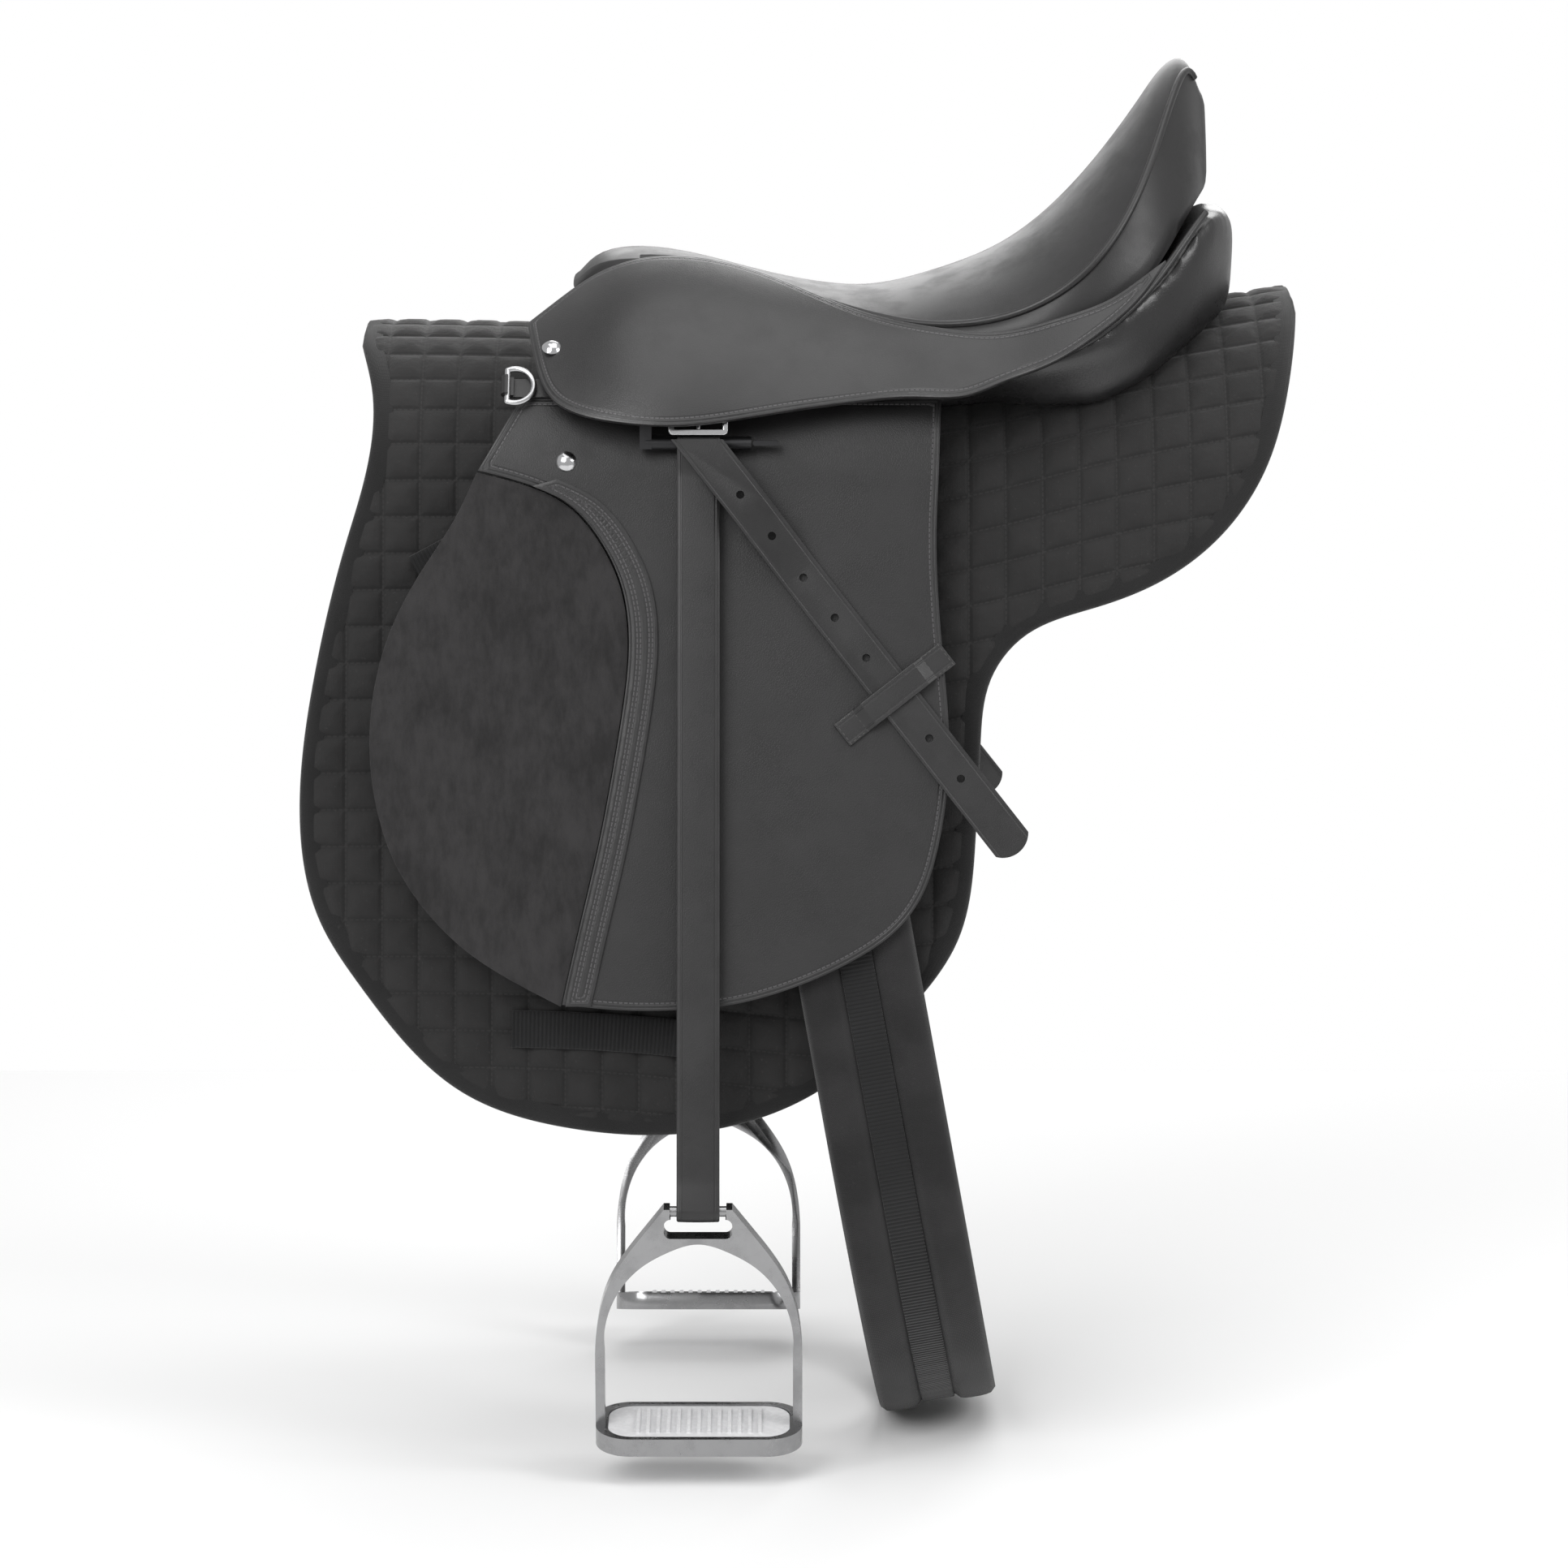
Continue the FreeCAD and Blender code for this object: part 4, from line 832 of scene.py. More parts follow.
def grained(name: str, colour: Sequence[float], cells: float, bump: float,
            effects: Effects) -> tuple[Material, Tree, bpy.types.Node, Socket, Socket, Socket]:
    """The start of every leather: its grain, in colour and in height.

    Args:
        name: the material's name.
        colour: its base colour.
        cells: how fine the grain is.
        bump: how deep it is.
        effects: the shared groups.

    Returns:
        The material, its tree, its shader, the place, the colour and the height.
    """
    material, t, shader = bare_material(name)
    place = t.place()
    grain = t.group(effects.grain, Place=place, Cells=cells)
    tone = t.remap(grain["Tone"], 0.3, 0.7)
    shade = t.blend(tone, scaled(colour, 0.82), scaled(colour, 1.2))
    return material, t, shader, place, shade, t.math("MULTIPLY", grain["Height"], bump)


@dataclass(frozen=True)
class Leather:
    """Smooth bridle leather, with rows of stitches at some distances from its edge."""

    name: str
    colour: tuple[float, float, float] = (0.0105, 0.0101, 0.0105)
    roughness: float = 0.36
    coat: float = 0.25
    cells: float = 750.0
    bump: float = 0.12
    stitches: tuple[float, ...] = ()
    creases: tuple[float, ...] = ()
    edged: bool = False

    def build(self, effects: Effects) -> Material:
        """Makes the material."""
        material, t, shader, place, colour, height = grained(
            self.name, self.colour, self.cells, self.bump, effects)
        if self.edged:
            gap = t.add("ShaderNodeAttribute", attribute_name="edge_gap").outputs["Fac"]
            run = t.add("ShaderNodeAttribute", attribute_name="edge_run").outputs["Fac"]
            wear = t.group(effects.wear, Place=place, Gap=gap, Reach=WORN_RIM)
            colour = t.blend(t.math("MULTIPLY", wear["Mask"], 0.55), colour,
                             scaled(self.colour, 3.2))
            for inset in self.stitches:
                row = t.group(effects.stitch, Gap=gap, Run=run, Inset=inset * MM,
                              Pitch=STITCH_PITCH)
                colour = t.blend(t.math("MULTIPLY", row["Thread"], 0.9), colour,
                                 scaled(self.colour, 6.5))
                height = t.math("MULTIPLY_ADD", row["Height"], 0.55, height)
            for inset in self.creases:
                off = t.math("ABSOLUTE", t.math("SUBTRACT", gap, inset * MM))
                height = t.math("ADD", height, t.remap(off, 0.0002, 0.0009, -0.6, 0.0))
        handled = t.group(effects.handled, Place=place)
        rough = t.math("MULTIPLY_ADD", handled["Mask"], 0.12, self.roughness)
        t.dress(shader, colour, height, 0.6, 0.0007,
                {"Roughness": rough, "Coat Weight": self.coat, "Coat Roughness": 0.28})
        return material


@dataclass(frozen=True)
class StrapLeather:
    """Bridle leather cut in straps, creased along both edges."""

    name: str
    colour: tuple[float, float, float] = (0.0115, 0.0111, 0.0115)
    half_wide: float = 12.5
    creased: bool = True
    roughness: float = 0.38

    def build(self, effects: Effects) -> Material:
        """Makes the material."""
        material, t, shader, place, colour, height = grained(
            self.name, self.colour, 800.0, 0.1, effects)
        across = t.add("ShaderNodeAttribute", attribute_name="across").outputs["Fac"]
        gap = t.math("SUBTRACT", self.half_wide * MM, t.math("ABSOLUTE", across))
        wear = t.group(effects.wear, Place=place, Gap=gap, Reach=WORN_RIM)
        colour = t.blend(t.math("MULTIPLY", wear["Mask"], 0.5), colour,
                         scaled(self.colour, 3.0))
        if self.creased:
            off = t.math("ABSOLUTE", t.math("SUBTRACT", gap, CREASE_INSET))
            height = t.math("ADD", height, t.remap(off, 0.0002, 0.0008, -1.0, 0.0))
        handled = t.group(effects.handled, Place=place)
        rough = t.math("MULTIPLY_ADD", handled["Mask"], 0.12, self.roughness)
        t.dress(shader, colour, height, 0.6, 0.0007,
                {"Roughness": rough, "Coat Weight": 0.2, "Coat Roughness": 0.3})
        return material


@dataclass(frozen=True)
class Suede:
    """Napped leather of the knee patches."""

    name: str
    colour: tuple[float, float, float] = (0.024, 0.023, 0.0235)

    def build(self, effects: Effects) -> Material:
        """Makes the material."""
        material, t, shader = bare_material(self.name)
        nap = t.group(effects.nap, Place=t.place())
        tone = t.remap(nap["Tone"], 0.32, 0.66)
        colour = t.blend(tone, scaled(self.colour, 0.7), scaled(self.colour, 1.45))
        t.dress(shader, colour, nap["Height"], 0.5, 0.0006,
                {"Roughness": 0.95, "Specular IOR Level": 0.15, "Sheen Weight": 0.25,
                 "Sheen Roughness": 0.5})
        return material


@dataclass(frozen=True)
class Cloth:
    """Woven cloth or webbing on a rolled out piece, with an optional rib."""

    name: str
    colour: tuple[float, float, float] = (0.012, 0.012, 0.012)
    pitch: float = 0.0011
    rib: float = 0.0
    sheen: float = 0.25
    roughness: float = 0.8

    def build(self, effects: Effects) -> Material:
        """Makes the material."""
        material, t, shader = bare_material(self.name)
        cloth = t.add("ShaderNodeUVMap", uv_map="rolled_out").outputs[0]
        place = t.place()
        height = t.group(effects.weave, Cloth=cloth, Pitch=self.pitch)["Height"]
        lint = t.remap(t.noise(place, 420.0, 3.0, 0.7), 0.62, 0.72)
        tone = t.remap(t.noise(place, 30.0, 4.0), 0.3, 0.7)
        colour = t.blend(tone, scaled(self.colour, 0.8), scaled(self.colour, 1.25))
        if self.rib:
            split = t.add("ShaderNodeSeparateXYZ", {0: cloth})
            wave = t.math("SINE", t.math("MULTIPLY", split.outputs[0],
                                         2 * math.pi / self.rib))
            height = t.math("MULTIPLY_ADD", wave, 1.6, height)
            colour = t.blend(t.remap(wave, -1.0, 0.4), scaled(self.colour, 0.4), colour)
        colour = t.blend(t.math("MULTIPLY", lint, 0.12), colour, scaled(self.colour, 4.0))
        t.dress(shader, colour, height, 0.5, 0.0004,
                {"Roughness": self.roughness, "Specular IOR Level": 0.3,
                 "Sheen Weight": self.sheen})
        return material


@dataclass(frozen=True)
class Quilt:
    """Quilted cotton: its seams are in the mesh, its stitches are drawn here."""

    name: str
    colour: tuple[float, float, float] = (0.0105, 0.0100, 0.0100)
    square: float = 0.0218
    weave_pitch: float = 0.0009
    stitch_pitch: float = 0.0034

    def build(self, effects: Effects) -> Material:
        """Makes the material."""
        material, t, shader = bare_material(self.name)
        cloth = t.add("ShaderNodeUVMap", uv_map="rolled_out").outputs[0]
        place = t.place()
        weave = t.group(effects.weave, Cloth=cloth, Pitch=self.weave_pitch)
        split = t.add("ShaderNodeSeparateXYZ", {0: cloth})
        seam, thread = None, None
        for axis, other in ((0, 1), (1, 0)):
            share = t.math("FRACT", t.math("DIVIDE", split.outputs[axis], self.square))
            near = t.math("SUBTRACT", 0.5, t.math("ABSOLUTE", t.math("SUBTRACT", share, 0.5)))
            off = t.math("MULTIPLY", near, self.square)
            dash = t.math("FRACT", t.math("DIVIDE", split.outputs[other], self.stitch_pitch))
            row = t.math("MULTIPLY", t.remap(off, 0.0003, 0.0006, 1.0, 0.0),
                         t.remap(dash, 0.6, 0.7, 1.0, 0.0))
            dip = t.remap(off, 0.0, 0.0026, -1.0, 0.0)
            thread = row if thread is None else t.math("MAXIMUM", thread, row)
            seam = dip if seam is None else t.math("MINIMUM", seam, dip)
        wrinkle = t.noise(place, 130.0, 3.0, 0.6)
        height = t.math("MULTIPLY_ADD", weave["Height"], 0.12, seam)
        height = t.math("MULTIPLY_ADD", wrinkle, 1.2, height)
        lint = t.math("MULTIPLY", t.remap(t.noise(place, 700.0, 2.0, 0.6), 0.66, 0.74), 0.35)
        tone = t.remap(t.noise(place, 26.0, 4.0), 0.3, 0.7)
        colour = t.blend(tone, scaled(self.colour, 0.8), scaled(self.colour, 1.3))
        for share, factor in ((t.math("MULTIPLY", seam, -0.6), 0.35),
                              (t.math("MULTIPLY", thread, 0.5), 2.6), (lint, 6.0)):
            colour = t.blend(share, colour, scaled(self.colour, factor))
        t.dress(shader, colour, height, 0.6, 0.0012,
                {"Roughness": 0.72, "Specular IOR Level": 0.35, "Sheen Weight": 0.2})
        return material


@dataclass(frozen=True)
class Metal:
    """Plated or plain steel, with fine scratches and dulled patches."""

    name: str
    colour: tuple[float, float, float] = (0.62, 0.62, 0.63)
    roughness: float = 0.16

    def build(self, effects: Effects) -> Material:
        """Makes the material."""
        material, t, shader = bare_material(self.name)
        place = t.place()
        handled = t.group(effects.handled, Place=place)["Mask"]
        brushed = t.add("ShaderNodeMapping", {"Vector": place, "Scale": (1.0, 8.0, 1.0)})
        scratch = t.noise(brushed.outputs[0], 500.0, 2.0, 0.7)
        colour = t.blend(handled, scaled(self.colour, 1.0), scaled(self.colour, 0.82))
        rough = t.math("MULTIPLY_ADD", handled, 0.14, self.roughness)
        t.dress(shader, colour, scratch, 0.08, 0.0003, {"Roughness": rough, "Metallic": 1.0})
        return material


@dataclass(frozen=True)
class Moulded:
    """Rubber, foam or wood: a plain body colour with fine mottling."""

    name: str
    colour: tuple[float, float, float] = (0.72, 0.72, 0.73)
    roughness: float = 0.6
    speck: float = 300.0

    def build(self, effects: Effects) -> Material:
        """Makes the material."""
        material, t, shader = bare_material(self.name)
        place = t.place()
        handled = t.group(effects.handled, Place=place)["Mask"]
        speck = t.noise(place, self.speck, 4.0, 0.6)
        colour = t.blend(t.remap(speck, 0.35, 0.7), scaled(self.colour, 0.93),
                         scaled(self.colour, 1.04))
        colour = t.blend(t.math("MULTIPLY", handled, 0.25), colour, scaled(self.colour, 0.75))
        t.dress(shader, colour, speck, 0.3, 0.0004, {"Roughness": self.roughness})
        return material


def make_finishes() -> dict[str, Material]:
    """Builds every finish.

    Returns:
        The materials by name.
    """
    effects = Effects()
    finishes = [
        Leather("leather"),
        Leather("seat leather", roughness=0.42, coat=0.14, cells=900.0, bump=0.08),
        Leather("skirt leather", roughness=0.33, coat=0.3, edged=True, stitches=(4.2,),
                creases=(1.8,)),
        Leather("flap leather", roughness=0.42, coat=0.12, edged=True, stitches=(4.2,),
                creases=(1.8,)),
        Leather("trim leather", roughness=0.4, edged=True, stitches=(3.0, 5.0)),
        Leather("panel leather", roughness=0.26, coat=0.45, cells=600.0),
        StrapLeather("strap leather"),
        StrapLeather("keeper leather", half_wide=8.0),
        Moulded("thread", colour=(0.06, 0.058, 0.057), roughness=0.6, speck=900.0),
        StrapLeather("billet leather", half_wide=19.0, creased=False),
        Suede("suede"),
        Quilt("quilted cotton"),
        Cloth("binding", pitch=0.0009, colour=(0.008, 0.0078, 0.008)),
        Cloth("webbing", rib=0.0024, colour=(0.009, 0.009, 0.0095)),
        Cloth("girth cotton", colour=(0.018, 0.0175, 0.018), sheen=0.2, roughness=0.95),
        Moulded("plain webbing", colour=(0.5, 0.45, 0.36), roughness=0.9, speck=800.0),
        Moulded("beech ply", colour=(0.55, 0.36, 0.2), roughness=0.55, speck=120.0),
        Moulded("white rubber"),
        Metal("chrome"),
        Metal("iron steel", colour=(0.36, 0.36, 0.365), roughness=0.22),
        Metal("plain steel", colour=(0.4, 0.4, 0.41), roughness=0.35),
        Metal("blacked steel", colour=(0.05, 0.05, 0.052), roughness=0.45),
    ]
    return {finish.name: finish.build(effects) for finish in finishes}


# --- the pieces ---------------------------------------------------------------------------

TRIM_LINE = [(-225, -62), (-195, -70), (-171, -82), (-152, -104), (-141, -127), (-136, -160),
             (-139, -198), (-145, -235), (-154, -282), (-165, -329), (-175, -373)]
FLAP_REAR = [(-175, -373), (-142, -376), (-107, -376), (-76, -373), (-48, -366), (-24, -357),
             (0, -345), (23, -328), (38, -306), (46, -280), (51, -249), (52, -212),
             (49, -174), (46, -136), (45, -94), (46, -70)]
PATCH_FRONT = [(-175, -371), (-199, -362), (-227, -345), (-252, -322), (-273, -291),
               (-284, -259), (-288, -231), (-287, -198), (-278, -160), (-259, -122),
               (-238, -89), (-225, -62)]
SKIRT_LOW = [(-197, 22), (-191, 0), (-181, -20), (-167, -28), (-143, -33), (-109, -35),
             (-76, -32), (-43, -27), (-5, -22), (33, -19), (62, -18), (81, -11), (110, 0),
             (138, 17), (163, 38), (180, 60)]
SKIRT_TOP = [(180, 60), (166, 50), (148, 38), (119, 27), (81, 18), (48, 20), (10, 27),
             (-28, 40), (-62, 53), (-97, 61), (-126, 61), (-155, 52), (-179, 36),
             (-197, 22)]
BAR_HEIGHT = -45.0


@dataclass
class Assembly:
    """A group of pieces that are made, dressed and fixed to their bodies together."""

    finish: dict[str, Material]

    def fit(self, piece: bpy.types.Object, finish: str, slot: str, body: str | None,
            *nodes: str) -> bpy.types.Object:
        """Dresses a piece, fixes it to its body and says which nodes it stands for.

        Args:
            piece: the piece.
            finish: the name of its finish.
            slot: the record's material slot.
            body: the body it rides on, or None for one that is blended later.
            nodes: the CAD nodes it stands for.

        Returns:
            The same piece.
        """
        piece.data.materials.clear()
        piece.data.materials.append(self.finish[finish])
        if body:
            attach(piece, body)
        if nodes:
            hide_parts(*nodes)
        LOG.info("%s: %d faces", piece.name, len(piece.data.polygons))
        return piece

    def both(self, piece: bpy.types.Object, finish: str, slot: str, body: str,
             *nodes: str, fill: float | None = None) -> None:
        """Fits a near side piece and its off side twin.

        Args:
            piece: the near side piece, whose name ends in _left.
            finish: the name of its finish.
            slot: the record's material slot.
            body: the body, with {} where the side's name goes if it has one.
            nodes: the CAD nodes it stands for, without their side.
            fill: how full it is from 0 to 1, if it is padded.
        """
        twin = mirrored(piece, piece.name.replace("_left", "_right"))
        for side, one in ((Side.NEAR.value, piece), (Side.OFF.value, twin)):
            names = [f"{node}_{side}" for node in nodes]
            self.fit(one, finish, slot, body.format(side), *names)

    def bend(self, near: bpy.types.Object, finish: str, nodes: Sequence[str],
             bodies: Sequence[str], start: Sequence[float], end: Sequence[float]) -> None:
        """Fits a near side leather and its twin, each bending between two bodies.

        Args:
            near: the near side piece, whose name ends in _left.
            finish: the name of its finish.
            nodes: the CAD nodes it stands for, without their side.
            bodies: the body at its start and the body at its end, with {} for the side.
            start: where the bend starts on the near side, in metres.
            end: where it ends.
        """
        twin = mirrored(near, near.name.replace("_left", "_right"))
        for side, piece, sign in ((Side.NEAR.value, near, 1), (Side.OFF.value, twin, -1)):
            names = [f"{node}_{side}" for node in nodes]
            self.fit(piece, finish, "black_leather", None, *names)
            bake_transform(piece)

    def keep_nodes(self, finish: str, *nodes: str) -> None:
        """Gives CAD nodes that are shown as they are a finish."""
        for node in nodes:
            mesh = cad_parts[node].data
            mesh.materials.clear()
            mesh.materials.append(self.finish[finish])


@dataclass
class SaddlePad(Assembly):
    """The quilted pad under the saddle: two halves sewn along the spine, bound all round."""

    thick: float = 8.4
    square: float = 21.8
    cell: float = 2.9
    binding_wide: float = 11.0
    front: float = -299.0
    rear: float = 263.0

    def edge(self) -> list[Point2]:
        """The pad's lower edge in the side view, from the front of the spine to the rear."""
        return [(self.front, 10), (-291, -15), (-291, -53), (-305, -106), (-324, -187),
                (-332, -262), (-320, -328), (-296, -366), (-234, -429), (-172, -449),
                (-120, -453), (-62, -444), (-24, -427), (24, -385), (58, -338), (68, -280),
                (71, -225), (77, -186), (98, -159), (140, -142), (179, -126), (214, -99),
                (240, -60), (254, -15), (self.rear, 30)]

    def quilting(self, gap: np.ndarray, flat: np.ndarray) -> np.ndarray:
        """The share of the full thickness at each place: pinched in at every seam."""
        offs = np.abs((flat / self.square + 0.5) % 1 - 0.5) * self.square
        near = offs.min(1)
        puff = 0.42 + 0.58 * (1 - np.exp(-(near / 3.6) ** 1.4))
        rim = 0.5 + 0.5 * np.clip(gap / 14.0, 0, 1)
        return np.minimum(puff, rim)

    def build(self) -> None:
        """Makes the halves, the binding and the webbing."""
        top = 90.0
        low = self.edge()
        shape = outline((Join.STRAIGHT, [(self.front, top), low[0]]), (Join.SMOOTH, low),
                        (Join.STRAIGHT, [low[-1], (self.rear, top)]),
                        (Join.STRAIGHT, [(self.rear, top), (self.front, top)]), pitch=3.0)
        half = cut_sheet("quilted_half_left", shape, PAD_ARCH, self.thick / 2, self.cell,
                         self.quilting)
        apply_modifier(half, "SOLIDIFY", thickness=self.thick * MM, offset=0.0,
                       vertex_group="thickness", use_even_offset=False)
        smooth_faces(half, 70)
        self.both(half, "quilted cotton", "quilted_cotton", "saddle", "saddle_pad",
                  fill=0.5)
        self.both(self.binding(), "binding", "binding_cotton", "saddle", "pad_binding")
        self.webbing()

    def binding(self) -> bpy.types.Object:
        """The folded tape over the pad's edge."""
        low = self.edge()
        line = outline((Join.STRAIGHT, [(self.front, 22), low[0]]), (Join.SMOOTH, low),
                       (Join.STRAIGHT, [low[-1], (self.rear, 44)]),
                       (Join.STRAIGHT, [(self.rear, 44), (self.rear, 45)]), pitch=5.0)
        depth = self.thick / 2
        flat = PAD_ARCH.flat(line[:, 0], line[:, 1], depth)
        path = PAD_ARCH.lift(flat[:, 0], flat[:, 1], depth)
        out = PAD_ARCH.facing(flat[:, 0], flat[:, 1], depth)
        wide, rise = self.binding_wide, 2.6
        fold = [(-wide, rise), (-wide * 0.5, rise + 0.9), (-1.2, rise + 0.5), (0.6, rise * 0.5),
                (0.9, 0), (0.6, -rise * 0.5), (-1.2, -rise - 0.5), (-wide, -rise),
                (-wide, -rise + 0.8), (-2.0, -rise + 0.9), (-0.8, 0), (-2.0, rise - 0.9),
                (-wide, rise - 0.8)]
        return smooth_faces(sweep("bound_edge_left", path, out, np.array(fold)), 60)

    def webbing(self) -> None:
        """The strap the girth passes through and the small one at the front."""
        depth = self.thick + 0.4
        pieces = []
        for x0, z0, x1, z1, wide in ((-206, -391, -100, -397, 22), (-262, -124, -232, -108, 24)):
            flat = PAD_ARCH.flat(np.array([x0, x1], float), np.array([z0, z1], float), depth)
            line = flat[:1] + (flat[1:] - flat[:1]) * np.linspace(0, 1, 40)[:, None]
            path = PAD_ARCH.lift(line[:, 0], line[:, 1], depth)
            out = PAD_ARCH.facing(line[:, 0], line[:, 1], depth)
            pieces.append(sweep("pad_strap", path, out, strap_section(wide, 1.5, 0.5, 0.0)))
        near = joined("pad_straps_left", pieces)
        twin = mirrored(near, "pad_straps_right")
        strap = joined("pad_straps", [near, twin])
        self.fit(smooth_faces(strap, 50), "webbing", "webbing", "saddle", "pad_webbing")


def joined(name: str, pieces: Sequence[bpy.types.Object]) -> bpy.types.Object:
    """Joins pieces into one."""
    only(pieces[0])
    for piece in pieces[1:]:
        piece.select_set(True)
    bpy.ops.object.join()
    pieces[0].name = pieces[0].data.name = name
    return pieces[0]


@dataclass
class Seat(Assembly):
    """The dished seat with its side gussets, and the welt between them."""

    stations: Sequence[tuple[float, ...]] = (
        (-170, 55, 40, 50, 46, 44, 47), (-157, 67, 50, 60, 54, 52, 55),
        (-135, 71, 58, 63, 61, 55, 58), (-97, 66, 59, 61, 62, 53, 56),
        (-58, 56, 64, 50, 67, 42, 45), (-28, 50, 74, 40, 77, 33, 36),
        (10, 48, 94, 29, 97, 22, 30), (48, 57, 113, 24, 116, 15, 34),
        (86, 72, 128, 29, 131, 14, 42), (124, 101, 133, 48, 136, 26, 62),
        (153, 134, 120, 80, 131, 40, 84), (174, 163, 92, 122, 120, 58, 100),
        (189, 182, 55, 160, 102, 80, 108), (199, 184, 30, 176, 82, 96, 112),
        (209, 165, 18, 160, 45, 110, 122))
    rows: int = 96
    welt: float = 2.3
    tuck: float = 8.0

    def ring(self, row: np.ndarray) -> np.ndarray:
        """The closed section at a station.

        Args:
            row: x, the middle's top, the rim's half width and height, the lower edge's half
                width and height, and the underside's height.

        Returns:
            Its points.
        """
        x, middle, rim_out, rim, low_out, low, under = row
        across = np.sin(np.linspace(-HALF_TURN, HALF_TURN, 37))
        top = np.stack([across * rim_out, rim + (middle - rim) * (1 - across ** 2)], 1)
        drop = np.linspace(0, 1, 8)[1:-1]
        bulge = 2.2 * np.sin(drop * math.pi)
        side = np.stack([rim_out + (low_out - rim_out) * drop + bulge,
                         rim + (low - rim) * drop], 1)
        back = np.linspace(1, -1, 17)
        base = np.stack([back * low_out, under + (low - under) * back ** 2], 1)
        other = side[::-1] * np.array([-1, 1])
        flat = np.concatenate([top, side, base, other])
        return np.column_stack([np.full(len(flat), x), flat])

    def build(self) -> None:
        """Makes the cover and the welt."""
        rows = through(np.array(self.stations, float), self.rows)
        tuck = self.tuck * np.clip((rows[:, 0] - 90.0) / 40.0, 0, 1)
        rows[:, 5] -= tuck
        rows[:, 6] -= tuck
        rings = [self.ring(row) for row in rows]
        for end, push in ((0, -1.0), (-1, 1.0)):
            base = rings[end]
            middle = base.mean(0)
            for share, shift in ((0.93, 1.6), (0.78, 2.8), (0.4, 3.4)):
                cap = middle + (base - middle) * share + np.array([push * shift, 0, 0])
                rings = [cap] + rings if end == 0 else rings + [cap]
        cover = loft("dished_seat", np.array(rings))
        apply_modifier(cover, "SMOOTH", factor=0.5, iterations=6)
        smooth_faces(cover, 62)
        self.fit(cover, "seat leather", "seat_leather", "saddle", "seat_cover", "seat_foam")
        start, end = 8, self.rows - 4
        path = np.stack([rows[start:end, 0], -rows[start:end, 2] - 0.6,
                         rows[start:end, 3]], 1)
        out = np.tile([0.0, -1.0, 0.5], (len(path), 1))
        bead = smooth_faces(sweep("seat_welt_left", path, out, round_section(self.welt)), 60)
        self.both(bead, "leather", "seat_leather", "saddle")


@dataclass
class Skirts(Assembly):
    """The small flaps over the stirrup bars, each bending at the seam below the seat."""

    thick: float = 3.0
    cell: float = 2.8
    fold_from: float = 2.0
    fold_to: float = -34.0
    middle: Point2 = (-0.04, -0.152)

    def build(self) -> None:
        """Makes both skirts and bends them between the saddle and their bodies."""
        shape = outline((Join.SMOOTH, SKIRT_LOW), (Join.SMOOTH, SKIRT_TOP), pitch=3.0)
        near = cut_sheet("skirt_leather_left", shape, SKIRT_DOME, 0.0, self.cell)
        thicken(near, self.thick)
        x, y = self.middle
        self.bend(near, "skirt leather", ("skirt", "skirt_top"), ("saddle", "skirt_{}_body"),
                  (x, y, self.fold_from * MM), (x, y, self.fold_to * MM))
        self.keep_nodes("chrome", "skirt_studs")


